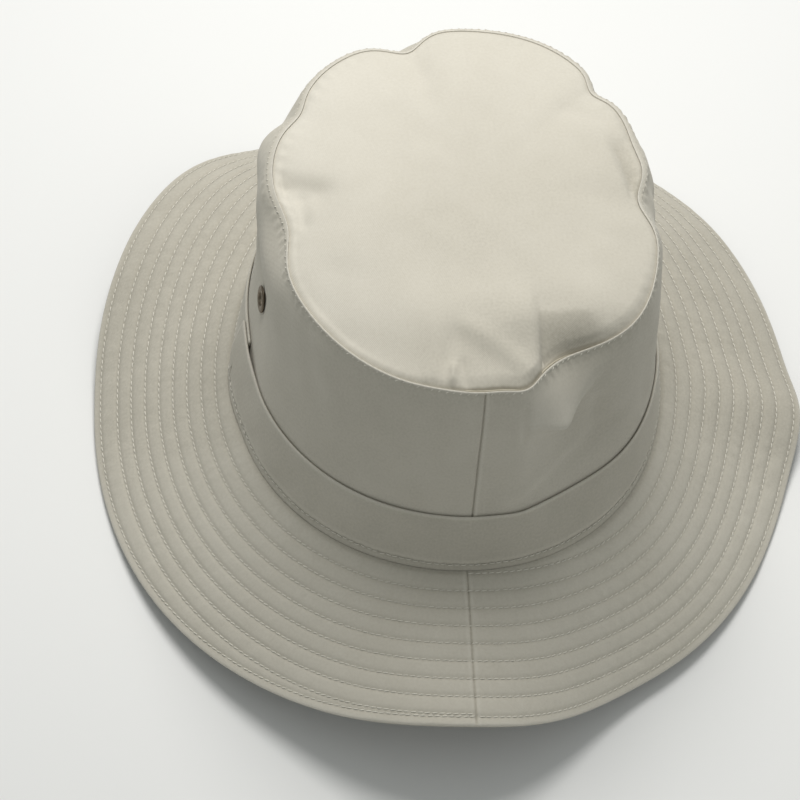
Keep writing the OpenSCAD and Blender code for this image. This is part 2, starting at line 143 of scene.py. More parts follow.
class HatSizes(bpy.types.PropertyGroup):
    """The hat's driving sizes. They are its solids' own, but for the shoulder puff, the slump,
    the quilt puff and the stitch, which are the cloth's."""

    crown_w: length("Crown width", 0.172, "Width of the crown at the brim seam")
    crown_l: length("Crown length", 0.212, "Length of the crown at the brim seam")
    crown_h: length("Crown height", 0.094, "Height of the tip seam above the brim seam")
    tip_w: length("Tip width", 0.144, "Width of the tip")
    tip_l: length("Tip length", 0.172, "Length of the tip")
    tip_dome: length("Tip dome", 0.006, "Rise of the tip at its middle")
    tip_notch_drop: length("Tip notch", 0.005, "How far the tip seam drops in its notch")
    tip_slack_depth: length("Seam slack", 0.0095, "How far the tip seam is pushed in at most")
    egg_depth: length("Egg shape", 0.0014, "How far the brim seam departs from an oval")
    shoulder_puff: length("Shoulder puff", 0.0026, "How far the wall swells under the tip seam")
    brim_w: length("Brim width", 0.068, "Width of the brim at the sides and front")
    brim_back_less: length("Brim back", 0.0075, "How much narrower the brim is at the back")
    first_row: length("First row", 0.00775, "From the brim seam to the first row of stitching")
    row_pitch: length("Row pitch", 0.0069, "From one row of brim stitching to the next")
    edge_stitch_in: length("Edge row", 0.0035, "From the brim's edge to its own row of stitching")
    hatband_h: length("Hatband height", 0.029, "Height of the band round the crown")
    sweatband_h: length("Sweatband height", 0.032, "Height of the band inside the crown")
    slump_depth: length("Slump", 0.0078, "How far the wall leans out below the notch")
    quilt_puff: length("Quilt puff", 0.0006, "How far the cloth swells between rows")
    stitch_pitch: length("Stitch", 0.0027, "From one stitch to the next")
    thread_d: length("Thread", 0.0005, "Thickness of the sewing thread")


class HatColours(bpy.types.PropertyGroup):
    """The hat's colours."""

    cloth: colour("Cloth", (0.51, 0.48, 0.41), "Faded khaki cotton")
    # The pale cloth: wear, and painted highlights on ridges, folded edges and swells.
    cloth_worn_and_lit: colour("Worn cloth", (0.66, 0.63, 0.56), "The cloth on ridges and folded edges")
    # The dark cloth: random darker tone, and painted shade in seams, creases, furrows and valleys.
    cloth_deep_and_shade: colour("Deep cloth", (0.27, 0.25, 0.20), "The cloth in seams and valleys")
    thread: colour("Thread", (0.78, 0.75, 0.66), "Sewing thread")
    tape: colour("Tape", (0.40, 0.365, 0.28), "Binding tape over the seams")
    label: colour("Label", (0.74, 0.73, 0.68), "Blank woven label")
    metal: colour("Eyelet metal", (0.15, 0.122, 0.09), "Darkened brass")


class StudioLook(bpy.types.PropertyGroup):
    """The studio's floor and lights."""

    floor: colour("Floor", (0.78, 0.78, 0.77), "Colour of the floor")
    key: power("Key light", 7, "Power of the key light")
    fill: power("Fill light", 2, "Power of the fill light")
    sky: FloatProperty(name="Surround", description="Strength of the surround", default=0.4, min=0)


# --- Curves -------------------------------------------------------------------


def sin_d(a):
    return np.sin(np.radians(a))


def cos_d(a):
    return np.cos(np.radians(a))


def turn(a, b):
    """The shortest way from b to a, in degrees."""
    return np.mod(a - b + 180, 360) - 180


def bell(a, at, width):
    """A bell round an azimuth: e to minus the square of the turn over the half width."""
    return np.exp(-((turn(a, at) / width) ** 2))


def dip(x, width):
    """A bell across a line: e to minus the square of the distance over the width."""
    return np.exp(-((x / width) ** 2))


def ease(x):
    """Three times the square less twice the cube, held between 0 and 1."""
    c = np.clip(x, 0, 1)
    return c * c * (3 - 2 * c)


def arch(x):
    """Half a sine: 0 at 0 and at 1, and 1 midway."""
    return np.sin(np.pi * np.clip(x, 0, 1))


def wave(values, a):
    """A smooth closed curve through evenly spaced values: each span is the cubic that takes its
    slopes from the values on either side."""
    v = np.asarray(values, float)
    u = np.mod(a, 360) / 360 * len(v)
    i = np.floor(u).astype(int)
    f = u - i
    p, q, r, s = (v[(i + k) % len(v)] for k in (-1, 0, 1, 2))
    return q + 0.5 * f * (r - p + f * (2 * p - 5 * q + 4 * r - s + f * (3 * (q - r) + s - p)))


def vector(x, y, z):
    """Three numbers or arrays as one array of vectors."""
    return np.stack(np.broadcast_arrays(x, y, z), -1).astype(float)


def times(v, k):
    """Vectors times numbers."""
    return v * np.asarray(k)[..., None]


def unit(v):
    return v / np.maximum(np.linalg.norm(v, axis=-1, keepdims=True), 1e-12)


def ripple(a, y, seed, turns, size):
    """Uneven ripples that close round the hat: the sum of cosines of a whole number of turns and
    of the distance y over about size, with seeded numbers and phases, over the root of half
    their count."""
    r = np.random.default_rng(seed)
    whole = r.integers(turns[0], turns[1] + 1, WAVES)
    slants = r.normal(0, 1, WAVES)
    phases = r.uniform(0, 2 * np.pi, WAVES)
    total = 0
    for n, slant, p in zip(whole, slants, phases):
        total = total + np.cos(n * np.radians(a) + 2 * np.pi * slant * y / size + p)
    return total / math.sqrt(WAVES / 2)


def rumple(x, y, seed, size):
    """Uneven waves over a plane: the sum of cosines along seeded directions, about size long,
    over the root of half their count."""
    r = np.random.default_rng(seed)
    ways = r.uniform(0, 2 * np.pi, WAVES)
    lengths = r.uniform(0.7, 1.6, WAVES)
    phases = r.uniform(0, 2 * np.pi, WAVES)
    total = 0
    for d, s, p in zip(ways, lengths, phases):
        total = total + np.cos(2 * np.pi * (x * np.cos(d) + y * np.sin(d)) / (size * s) + p)
    return total / math.sqrt(WAVES / 2)


def fold(x, y, x0, y0, x1, y1, width, other, height):
    """A soft fold along a line: the height times a bell of the distance from the line, with its
    own width on each side, which fades past the line's ends."""
    dx, dy = x1 - x0, y1 - y0
    long = math.hypot(dx, dy)
    along = ((x - x0) * dx + (y - y0) * dy) / long
    across = ((x - x0) * dy - (y - y0) * dx) / long
    past = np.maximum(np.abs(along - long / 2) - long / 2, 0)
    wide = np.where(across > 0, width, other)
    return height * dip(across, wide) * dip(past, (width + other) * 0.6)


class Hat:
    """The hat's curves and cloth faces in millimetres, from its sizes. Azimuth runs from the
    centre back towards the wearer's left, in degrees."""

    hatband_t, sweatband_t, cloth_t, interlining_t, tape_t = 1.1, 1.0, 0.7, 0.7, 0.4
    gap = 0.2
    shoulder_r, seam_allowance, seam_saddle, lap_climb = 1.2, 8, 5.5, 12
    tip_forward, tip_sideways, tip_back_rise = 4, 2, 2.5
    brim_droop, move_over, edge_round, under_share = 31, 54, 0.3, 0.7
    lap_at = 84
    seam_roll, stitch_drop, hatband_stitch_h = 0.55, 1.0, 3.5
    tip_tape_w, back_tape_w = 11, 12
    label_w, label_h, label_hem = 24, 14, 1.4
    vent_flange_r, vent_metal_t = 5.4, 0.5

    def __init__(self, sizes):
        for name in type(sizes).__annotations__:
            setattr(self, name, getattr(sizes, name) / MM)
        self.wall_out = -(self.hatband_t + self.gap)
        self.wall_in = self.wall_out - self.cloth_t
        self.top_turn_out = self.wall_in - self.gap
        self.under_turn_out = self.top_turn_out - self.cloth_t - self.gap
        self.sweatband_out = self.under_turn_out - self.cloth_t - self.gap
        self.label_out = self.sweatband_out - self.sweatband_t - self.gap
        self.interlining_top = -(self.cloth_t + self.gap)
        self.under_top = self.interlining_top - self.interlining_t - self.gap
        self.under_face = self.under_top - self.cloth_t
        self.rim_joint = (self.under_face - self.gap) / 2
        self.rows = int((self.brim_w - self.first_row - self.edge_stitch_in) / self.row_pitch)
        self.girth = math.pi * (self.crown_w + self.crown_l) / 2
        self.sweatband_rows = (3.0, self.sweatband_h - 4)

    # Ovals.

    def oval_out(self, a, wide, long):
        """The level direction straight out of an oval of the given width and length."""
        return unit(vector(sin_d(a) * long, cos_d(a) * wide, 0))

    def out(self, a):
        """The level direction straight out of the crown."""
        return self.oval_out(a, self.crown_w, self.crown_l)

    def seam(self, a):
        """The brim seam: an egg-shaped oval that dips at the sides."""
        egg = SEAM_EGG[0] * sin_d(2 * a) + SEAM_EGG[1] * cos_d(3 * a) + SEAM_EGG[2] * sin_d(3 * a)
        egg = egg * self.egg_depth
        oval = vector(
            self.crown_w / 2 * sin_d(a),
            self.crown_l / 2 * cos_d(a),
            self.seam_saddle * cos_d(2 * a),
        )
        return oval + times(self.out(a), egg)

    def notch(self, a):
        """How far the tip seam drops in its notch."""
        return self.tip_notch_drop * bell(a, *TIP_NOTCH)

    def tip_seam(self, a):
        """The tip seam: a level oval, pushed in and out by the slack of the cloth."""
        slack = self.tip_slack_depth * sum(s[1] * bell(a, s[0], s[2]) for s in TIP_SLACK)
        oval = vector(
            self.tip_w / 2 * sin_d(a) - self.tip_sideways,
            self.tip_l / 2 * cos_d(a) - self.tip_forward,
            self.crown_h + self.tip_back_rise * cos_d(a) - self.notch(a),
        )
        return oval + times(self.oval_out(a, self.tip_w, self.tip_l), slack)

    def crown(self, a, t, o):
        """Between the brim seam at t = 0 and the tip seam at t = 1, moved outwards by o."""
        return times(self.seam(a), 1 - t) + times(self.tip_seam(a), t) + times(self.out(a), o)

    def crown_up(self, a, h, o):
        """On the crown, h above the brim seam and o outwards."""
        return self.crown(a, h / self.crown_h, o)

    def crown_down(self, a, h, o):
        """On the crown, h below the tip seam and o outwards."""
        return self.crown(a, 1 - h / self.crown_h, o)

    def beside(self, a, o, v):
        """Beside the brim seam, o outwards and v up."""
        return self.seam(a) + times(self.out(a), o) + vector(0, 0, v + 0 * a)

    # The wall.

    def wall_bulge(self, h):
        """The swell of the wall to its shoulder, eased in from 0.3 to 0.9 of its height."""
        return (self.shoulder_r - self.wall_out) * ease((h / self.crown_h - 0.3) / 0.6)

    def shoulder(self, a, down):
        """How far the wall swells beyond its solid below the tip seam: it puffs out below the
        seam's dents, and towards the face it swells over the seam."""
        out = sum(p[2] * bell(a, p[0], p[1]) for p in WALL_PUFFS)
        out = out * ease((down - 0.6) / 13) * (1 - ease((down - 16) / 18))
        round_over = np.sqrt(1 - (1 - np.clip(down / 5, 0, 1)) ** 2) * (1 - ease((down - 9) / 26))
        front = ease((0.4 - cos_d(a)) / 0.6) * (0.6 + 0.4 * np.abs(sin_d(a)))
        return out + self.shoulder_puff * front * round_over

    def slump_patch(self, a, down, left):
        """Where the wall hangs slack below the notch, from 0 to 1: between two azimuths, with the
        left edge as soft as given, down to a fold that runs slantwise."""
        b = np.mod(a, 360)
        wide = ease((348 - b) / left) * ease((b - 310 - 0.75 * down) / 9)
        low = np.maximum(23 + 0.4 * (333 - b), 17)
        return wide, np.clip(down / low, 0, 1), down - low

    def slump(self, a, down):
        """The wall's slack below the notch: it leans outwards ever more with the distance down,
        and turns back in under the fold."""
        wide, share, past = self.slump_patch(a, down, 13)
        return self.slump_depth * wide * share**1.5 * (1 - ease((past + 1.5) / 13))

    def back_seam(self, h):
        """The azimuth of the wall's back seam at height h."""
        return -1.6 * h / self.crown_h

    def wall_relief(self, a, h):
        """Folds along lines, uneven ripples that grow upwards, a furrow under the topstitching
        with small puckers, and the back seam as a furrow with a ridge beside it."""
        per_degree = self.girth / 360
        relief = 0.35 * ripple(a, h, 3, (3, 14), 90) * ease(h / 60)
        for a0, h0, a1, h1, width, height in WALL_FOLDS:
            x = turn(a, (a0 + a1) / 2) * per_degree
            x0, x1 = (turn(np.float64(b), (a0 + a1) / 2) * per_degree for b in (a0, a1))
            relief = relief + fold(x, h, x0, h0, x1, h1, width, width, height)
        down = self.crown_h - h
        relief = relief * ease(down / 6) * ease((h - self.hatband_h + 6) / 14)
        puckers = ripple(a, down * 6, 8, (95, 150), 60) * dip(down - 2.6, 2.2)
        relief = relief + 0.13 * puckers - 0.15 * dip(down - self.stitch_drop - 0.4, 0.5)
        relief = relief - (self.shoulder_r - self.seam_roll) * ease((9 - down) / 8)
        relief = relief + self.shoulder(a, down) + self.slump(a, down)
        across = turn(a, self.back_seam(h)) * per_degree
        return relief - 0.5 * dip(across, 0.45) + 0.28 * dip(across + 1.3, 1.0)

    def wall_face(self, a, h, o=0.0):
        """The wall's outer face without its relief, moved outwards by o."""
        return self.crown_up(a, h, self.wall_out + self.wall_bulge(h) + o)

    def wall_skin(self, a, h):
        """The wall's outer face with its relief."""
        return self.wall_face(a, h, self.wall_relief(a, h))

    # The tip.

    def tip_rise(self, a, q):
        """A flat dome, kept up beside the notch, at share q of the radius."""
        return self.tip_dome * (1 - q**4) + self.notch(a) * (q - q**12)

    def tip_flat(self, a, q):
        """The tip without its rise, from its centre at q = 0 to beside its seam at q = 1."""
        centre = np.array([-self.tip_sideways, -self.tip_forward, self.crown_h])
        edge = self.tip_seam(a) - self.out(a) * self.gap / 2
        return centre * (1 - q[..., None]) + times(edge, q)

    def tip_relief(self, a, q):
        """Folds along lines, an uneven rumple and a shallow moat beside the seam."""
        p = self.tip_flat(a, q)
        x, y = p[..., 0], p[..., 1]
        relief = 0.3 * rumple(x, y, 5, 60) + 0.06 * rumple(x, y, 6, 20)
        relief = relief + self.creases(x, y, TIP_FOLDS)
        inwards = (1 - q) * self.tip_w / 2
        pucker = 0.07 * ripple(a, inwards, 9, (60, 95), 40) * dip(inwards - 2.5, 3)
        down, across = self.tip_sink(a)
        sunk = down * (1 - np.clip(inwards / across, 0, 1)) ** 1.5
        relief = relief * ease(inwards / 4) + self.facets(x, y)[0] * ease(inwards / 2.5)
        return relief + pucker * ease(inwards / 1.2) - sunk

    def creases(self, x, y, table):
        """The sum of a table of folds across the tip."""
        total = 0
        for a0, q0, a1, q1, *shape in table:
            ends = self.tip_flat(np.array([a0, a1], float), np.array([q0, q1], float))
            total = total + fold(x, y, ends[0, 0], ends[0, 1], ends[1, 0], ends[1, 1], *shape)
        return total

    def facets(self, x, y):
        """The drop and the painted shade of the tip's facets: inside each polygon, one minus soft
        edges, with the drop growing with the distance from its first edge."""
        drop = tone = 0
        for corners, fall, shade in TIP_FACETS:
            a, q, soft = np.array(corners, float).T
            p = self.tip_flat(a, q)[:, :2]
            inside = 1
            for i in range(len(p)):
                dx, dy = unit(p[(i + 1) % len(p)] - p[i])
                across = (x - p[i, 0]) * dy - (y - p[i, 1]) * dx
                inside = inside * ease(across / soft[i])
                if i == 0:
                    far = np.maximum(across, 0)
            drop = drop + fall * far * inside
            tone = tone + shade * inside
        return drop, tone

    def tip_sink(self, a):
        """How far the tip's edge sinks below the wall's ridge, and over how wide a strip."""
        down = 0.7 + 0.2 * cos_d(a) + sum(s[2] * bell(a, s[0], s[1]) for s in TIP_SINKS)
        return down, 2.2 + sum(s[3] * bell(a, s[0], s[1]) for s in TIP_SINKS)

    def tip_skin(self, a, q, down=0.0):
        """The tip's upper face with its rise and relief, moved down."""
        rise = self.tip_rise(a, q) + self.tip_relief(a, q) - down
        return self.tip_flat(a, q) + vector(0, 0, rise)

    # The brim.

    def droop(self, a):
        """The brim's slope downwards, in degrees."""
        ripples = sum(r[1] * bell(a, r[0], r[2]) for r in BRIM_RIPPLES)
        return self.brim_droop + wave(BRIM_SAG, a) + ripples

    def brim_width(self, a):
        """The width, which lessens at the back by the cube of the cosine."""
        return self.brim_w - self.brim_back_less * np.maximum(cos_d(a), 0) ** 3

    def brim_up(self, a):
        """The direction straight off the brim's upper face."""
        s = self.droop(a)
        return times(self.out(a), sin_d(s)) + vector(0, 0, cos_d(s))

    def brim(self, a, u, v):
        """On the brim, u along its slope from the seam and v off its upper face."""
        s = self.droop(a)
        along = times(self.out(a), cos_d(s)) - vector(0, 0, sin_d(s))
        return self.seam(a) + times(along, u) + times(self.brim_up(a), v)

    def row_at(self, a, k):
        """Where turn k of the spiral row of stitching lies at an azimuth: each turn starts one
        pitch in, and eases over within the first part of the turn."""
        s = np.mod(-a, 360)
        u = self.first_row + self.row_pitch * (k - 1 + ease(s / self.move_over))
        return np.minimum(u, self.edge_line(a) - 2 * self.thread_d)

    def edge_line(self, a):
        """How far out the edge's own row of stitching lies."""
        return self.brim_width(a) - self.edge_stitch_in

    def quilt(self, a, u):
        """Swelling between the rows: the cloth rises as a sine between two rows, with a narrow
        furrow along each, and puckers that change from row to row."""
        lines = [0 * a] + [self.row_at(a, k) for k in range(self.rows)]
        lines += [self.edge_line(a), self.brim_width(a) + 0.6]
        lines = [np.broadcast_to(x, u.shape) for x in lines]
        swell, wrinkle = np.zeros(u.shape), np.zeros(u.shape)
        for k, (low, high) in enumerate(zip(lines[:-1], lines[1:])):
            wide = np.maximum(high - low, 1e-3)
            f = (u - low) / wide
            inside = (f >= 0) & (f < 1)
            full = np.minimum(wide / self.row_pitch, 1.15)
            near = np.minimum(f, 1 - f) * wide
            rise = full * (0.45 * arch(f) + 0.55 * (1 - dip(near, 1.0)))
            swell = np.where(inside, rise, swell)
            fine = ripple(a, u, 40 + k, (110, 190), 14)
            broad = ripple(a, u, 70 + k, (40, 80), 20)
            pucker = (fine * 0.55 + broad * 0.45) * full * arch(f) ** 0.7
            wrinkle = np.where(inside, pucker, wrinkle)
        return self.quilt_puff * swell + 0.11 * wrinkle

    def from_back(self, a, u):
        """How far from the centre back, in millimetres, u out along the brim."""
        return turn(a, 0) * (self.girth / 360 + u / RADIAN)

    def brim_seam(self, a, u):
        """The brim's back seam: a furrow across the rows with a low ridge on each side."""
        across = self.from_back(a, u)
        return -0.4 * dip(across, 0.35) + 0.12 * dip(np.abs(across) - 1.4, 0.8)

    def brim_relief(self, a, u):
        """The quilting and the back seam, faded out at the seam and at the edge."""
        fade = ease(u / 1.5) * ease((self.brim_width(a) - u) / 0.8)
        return (self.quilt(a, u) + self.brim_seam(a, u)) * fade

    def under_skin(self, a, u):
        """How high the lower cloth's quilted face lies off the brim's upper one: a share of the
        upper cloth's relief, the other way up and about its middle, eased in from the seam."""
        return self.under_face - (self.brim_relief(a, u) - 0.55) * self.under_share * ease(u / 4)

    # The hatband.

    def lap_lift(self, s):
        """The band's far end climbs over its near end."""
        return (self.hatband_t + self.gap) * ease((s - (360 - self.lap_climb)) / self.lap_climb)

    def band_face(self, s, h, o=0.0):
        """The band's face s degrees along it, with the free end gaping a little in the middle."""
        a = self.lap_at + s
        midway = arch(h / self.hatband_h)
        gape = 0.9 * ease((s - 358) / 8) * midway
        relief = 0.12 * ripple(a, h, 12, (8, 30), 40) * midway
        row = h - self.hatband_stitch_h
        furrow = -0.3 * dip(row, 0.6) + 0.1 * ripple(a, h, 13, (110, 170), 30) * dip(row, 2.2)
        lift = self.lap_lift(s) + gape + relief + furrow + o
        return self.wall_face(a, h, lift - self.wall_out)


# --- Meshes ---------------------------------------------------------------------


def section(face, back):
    """A closed cross-section from its outer face and its back, both from foot to head."""
    return np.concatenate([face[:, ::-1], back], axis=1)


def azimuths(count, fine=()):
    """Azimuths round the hat, closer together beside each fine one, and the first again."""
    a = [np.linspace(0, 360, count, endpoint=False)]
    for at in fine:
        a.append(np.mod(at + np.linspace(-1.6, 1.6, 33), 360))
    a = np.unique(np.round(np.concatenate(a), 4))
    return np.append(a, a[0] + 360)


def new_mesh(name, at, loops, starts):
    """A mesh from its points in millimetres in the frame, the points at its faces' corners, and
    the first corner of each face."""
    mesh = bpy.data.meshes.new(name)
    mesh.vertices.add(len(at))
    mesh.vertices.foreach_set("co", (at * MM).astype(np.float32).ravel())
    mesh.loops.add(len(loops))
    mesh.loops.foreach_set("vertex_index", loops.astype(np.int32))
    mesh.polygons.add(len(starts))
    mesh.polygons.foreach_set("loop_start", starts.astype(np.int32))
    mesh.update(calc_edges=True)
    return mesh


def surface(name, points, cloth=None, wear=None, around=True, poles=None):
    """A mesh over a grid of points in millimetres. The last row repeats the first if it closes
    round the hat. The cross-section closes on itself, or ends at two poles; a strip's ends are
    capped. The faces are turned so that the piece's volume is positive. The cloth's map is given
    point by point, and its wear with its painted highlights and painted shade point by point or as
    one value."""
    across = poles is None
    n, m = points.shape[:2]
    rings = n - 1 if around else n
    i, j = np.meshgrid(np.arange(n - 1), np.arange(m if across else m - 1), indexing="ij")
    j2 = (j + 1) % m
    corners = [(i, j), (i + 1, j), (i + 1, j2), (i, j2)]
    quads = np.stack([(p % rings) * m + q for p, q in corners], -1).reshape(-1, 4)
    at = points[:rings].reshape(-1, 3) + SEAM_CENTRE
    p0, p1, p2, p3 = (at[quads[:, k]] for k in range(4))
    volume = (p0 * np.cross(p1, p2)).sum() + (p0 * np.cross(p2, p3)).sum()
    order = [0, 1, 2, 3] if volume > 0 else [3, 2, 1, 0]
    quads = quads[:, order]
    loops, starts = quads.ravel(), np.arange(len(quads)) * 4
    spare = []
    if not around:
        first, last = np.arange(m), (rings - 1) * m + np.arange(m)
        caps = (first, last[::-1]) if order[0] == 0 else (first[::-1], last)
        starts = np.concatenate([starts, [len(loops), len(loops) + m]])
        loops = np.concatenate([loops, *caps])
        spare.append(np.zeros((2 * m, 2)))
    if not across:
        k = np.arange(rings)
        for end, j0 in ((0, 0), (1, m - 1)):
            here, there = k * m + j0, (k + 1) % rings * m + j0
            fan = [there, here] if (end == 0) == (order[0] == 0) else [here, there]
            fan = np.stack([*fan, np.full(rings, len(at) + end)], -1)
            starts = np.concatenate([starts, len(loops) + np.arange(rings) * 3])
            loops = np.concatenate([loops, fan.ravel()])
            if cloth is not None:
                flat = np.concatenate([cloth[:rings].reshape(-1, 2), cloth[:, [0, -1]].mean(0)])
                spare.append(flat[fan.ravel()])
        at = np.concatenate([at, np.asarray(poles, float) + SEAM_CENTRE])
    mesh = new_mesh(name, at, loops, starts)
    if cloth is not None:
        uv = np.stack([cloth[p, q] for p, q in corners], -2).reshape(-1, 4, 2)[:, order]
        uv = np.concatenate([uv.reshape(-1, 2), *spare])
        layer = mesh.uv_layers.new(name="Cloth")
        layer.data.foreach_set("uv", (uv * MM).astype(np.float32).ravel())
    if wear is not None:
        wear = np.broadcast_to(wear, (n, m))
        layer = mesh.attributes.new("wear", "FLOAT", "POINT")
        worn_and_lit = wear[:rings].ravel()
        worn_and_lit = worn_and_lit if across else np.concatenate([worn_and_lit, wear[0, [0, -1]]])
        layer.data.foreach_set("value", worn_and_lit.astype(np.float32))
    return finish_mesh(name, mesh)


def finish_mesh(name, mesh):
    """Makes the mesh smooth, and an object of it in the scene."""
    mesh.polygons.foreach_set("use_smooth", np.ones(len(mesh.polygons), bool))
    mesh.validate()
    mesh.update()
    piece = bpy.data.objects.new(name, mesh)
    bpy.context.scene.collection.objects.link(piece)
    return piece


def dress(piece, material, slot, *nodes):
    """Gives a piece its material, its place on the hat, and the solids that it stands for."""
    piece.data.materials.append(material)
    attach(piece, "root")
    if nodes:
        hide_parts(*nodes)
    return piece


def capsules(name, at, along, up, long, thick):
    """Small rounded stitches: one few-sided capsule, bowed up in its middle, set at each point."""
    sides, stations = 6, np.array([-0.5, -0.42, -0.18, 0.18, 0.42, 0.5])
    fat = np.array([0.25, 0.75, 1.0, 1.0, 0.75, 0.25]) * thick / 2
    bow = thick * 0.35 * (1 - (2 * stations) ** 2)
    t = np.arange(sides) / sides * 2 * np.pi
    x = np.repeat(stations * long, sides)
    y = (fat[:, None] * np.cos(t)).ravel()
    z = (fat[:, None] * 0.8 * np.sin(t) + bow[:, None]).ravel()
    side = unit(np.cross(up, along))
    up = np.cross(along, side)
    v = at[:, None]
    for way, far in ((along, x), (side, y), (up, z)):
        v = v + way[:, None] * far[:, None]
    m = len(x)
    i, j = np.meshgrid(np.arange(len(stations) - 1), np.arange(sides), indexing="ij")
    j2 = (j + 1) % sides
    quads = np.stack([i * sides + j, (i + 1) * sides + j, (i + 1) * sides + j2, i * sides + j2], -1)
    quads = quads.reshape(-1, 4)[:, ::-1]
    ends = np.array([np.arange(sides)[::-1], (len(stations) - 1) * sides + np.arange(sides)])
    shift = (np.arange(len(at)) * m)[:, None, None]
    quads = (quads[None] + shift).reshape(-1, 4)
    ends = (ends[None, :, ::-1] + shift).reshape(-1, sides)
    loops = np.concatenate([quads.ravel(), ends.ravel()])
    starts = np.concatenate([np.arange(len(quads)) * 4, quads.size + np.arange(len(ends)) * sides])
    points = (v + SEAM_CENTRE).reshape(-1, 3)
    return finish_mesh(name, new_mesh(name, points, loops, starts))


def stitches(name, paths, pitch, thick, seed, slant, share):
    """A stitch every pitch along each path of points with the directions off the cloth, as long
    as a share of the pitch, turned by a slant in degrees, with a little seeded unevenness in
    place and direction."""
    r = np.random.default_rng(seed)
    at, along, up = [], [], []
    for path, off in paths:
        run = np.concatenate([[0], np.cumsum(np.linalg.norm(np.diff(path, axis=0), axis=1))])
        middles = np.arange(pitch / 2, run[-1], pitch)
        middles = middles + r.normal(0, 0.04 * pitch, len(middles))
        def place(s, v=path, run=run):
            return np.stack([np.interp(s, run, v[:, k]) for k in range(3)], -1)
        at.append(place(middles))
        along.append(unit(place(middles + 0.4 * pitch) - place(middles - 0.4 * pitch)))
        up.append(unit(place(middles, off)))
    at, along, up = (np.concatenate(x) for x in (at, along, up))
    lean = math.tan(math.radians(slant)) + r.normal(0, 0.05, (len(at), 1))
    along = unit(along + np.cross(up, along) * lean)
    return capsules(name, at, along, up, pitch * share, thick)


# --- Materials --------------------------------------------------------------------


class Wire:
    """A socket's value, on which arithmetic adds Math nodes."""

    def __init__(self, graph, socket):
        self.graph, self.socket = graph, socket

    def _do(self, operation, *values):
        return self.graph.node("ShaderNodeMath", {"operation": operation}, dict(enumerate(values)))

    def __add__(self, other):
        return self._do("ADD", self, other)

    def __mul__(self, other):
        return self._do("MULTIPLY", self, other)

    def __sub__(self, other):
        return self._do("SUBTRACT", self, other)

    def __rsub__(self, other):
        return self._do("SUBTRACT", other, self)

    __radd__, __rmul__ = __add__, __mul__

    def sine(self):
        return self._do("SINE", self)

    def held(self):
        """The value held between 0 and 1."""
        return self.graph.node("ShaderNodeClamp", {}, {0: self})


class Graph:
    """A material's nodes, ending in one Principled shader."""

    def __init__(self, name, **fixed):
        self.material = bpy.data.materials.new(name)
        self.material.use_nodes = True
        self.tree = self.material.node_tree
        self.tree.nodes.clear()
        self.shader = self.tree.nodes.new("ShaderNodeBsdfPrincipled")
        output = self.tree.nodes.new("ShaderNodeOutputMaterial")
        self.tree.links.new(self.shader.outputs[0], output.inputs["Surface"])
        for key, value in fixed.items():
            self.shader.inputs[key.replace("_", " ")].default_value = value

    def node(self, kind, settings, sockets, output=0):
        """Adds a node: its settings first, then the values or links of its sockets."""
        node = self.tree.nodes.new(kind)
        for key, value in settings.items():
            setattr(node, key, value)
        for key, value in sockets.items():
            self.feed(node.inputs[key], value)
        return Wire(self, node.outputs[output])

    def feed(self, socket, value):
        """Links a wire to a socket, or sets the socket's value."""
        if isinstance(value, Wire):
            self.tree.links.new(value.socket, socket)
        elif socket.type == "RGBA" and len(value) == 3:
            socket.default_value = (*value, 1)
        else:
            socket.default_value = value

    def noise(self, at, scale, detail):
        return self.node("ShaderNodeTexNoise", {}, {"Vector": at, "Scale": scale, "Detail": detail})

    def blend(self, share, first, second):
        return self.node(
            "ShaderNodeMix", {"data_type": "RGBA"}, {0: share, 6: first, 7: second}, output=2
        )

    def bump(self, height, distance, strength):
        return self.node(
            "ShaderNodeBump", {}, {"Height": height, "Distance": distance, "Strength": strength}
        )

    def show(self, colour, roughness, normal=None):
        """Links the shader's colour, roughness and normal, and hands over the material."""
        for key, value in (("Base Color", colour), ("Roughness", roughness), ("Normal", normal)):
            if value is not None:
                self.feed(self.shader.inputs[key], value)
        return self.material


def dim(tone, share):
    """A colour made darker."""
    return tuple(c * share for c in tone)


def cloth_material(name, base, worn_and_lit, deep_and_shade, weave=0.00062):
    """Cotton twill: fine diagonal ribs crossed by the weft, soft colour drift, pale where it is
    worn and where a highlight is painted, and dark where shade is painted in its seams, creases and
    furrows."""
    g = Graph(name, Sheen_Weight=0.12, Sheen_Roughness=0.6, Specular_IOR_Level=0.22)
    at = g.node("ShaderNodeUVMap", {"uv_map": "Cloth"}, {})
    split = g.tree.nodes.new("ShaderNodeSeparateXYZ")
    g.feed(split.inputs[0], at)
    x, y = Wire(g, split.outputs[0]), Wire(g, split.outputs[1])
    k = 2 * math.pi / weave
    rib = ((x * k) + (y * k * 0.9)).sine()
    weft = ((y * k * 1.7) - (x * k * 0.25)).sine()
    slub = g.noise(at, 900, 2.0)
    drift = g.noise(at, 22, 4.0)
    blotch = g.noise(at, 95, 3.0)
    wear = g.node("ShaderNodeAttribute", {"attribute_name": "wear"}, {}, output=2)
    # Wear with painted light and shade, moved by the random colour drift: low values blend towards
    # the painted shade colour, high ones towards the worn and lit colour.
    rub_and_shading = ((drift - 0.5) * 0.22 + (blotch - 0.5) * 0.12 + (slub - 0.5) * 0.3 + wear).held()
    low = ((0.5 - rub_and_shading) * 2.0).held()
    high = ((rub_and_shading - 0.5) * 2.0).held()
    shade = g.blend(low, base, deep_and_shade)
    shade = g.blend(high, shade, worn_and_lit)
    dust = (rib * 0.05 + weft * 0.03 + 0.08).held()
    shade = g.blend(dust, shade, deep_and_shade)
    height = rib * 0.5 + weft * 0.3 + slub * 0.9
    rough = 0.86 + (slub - 0.5) * 0.1
    return g.show(shade, rough, g.bump(height, 0.00006, 0.6))


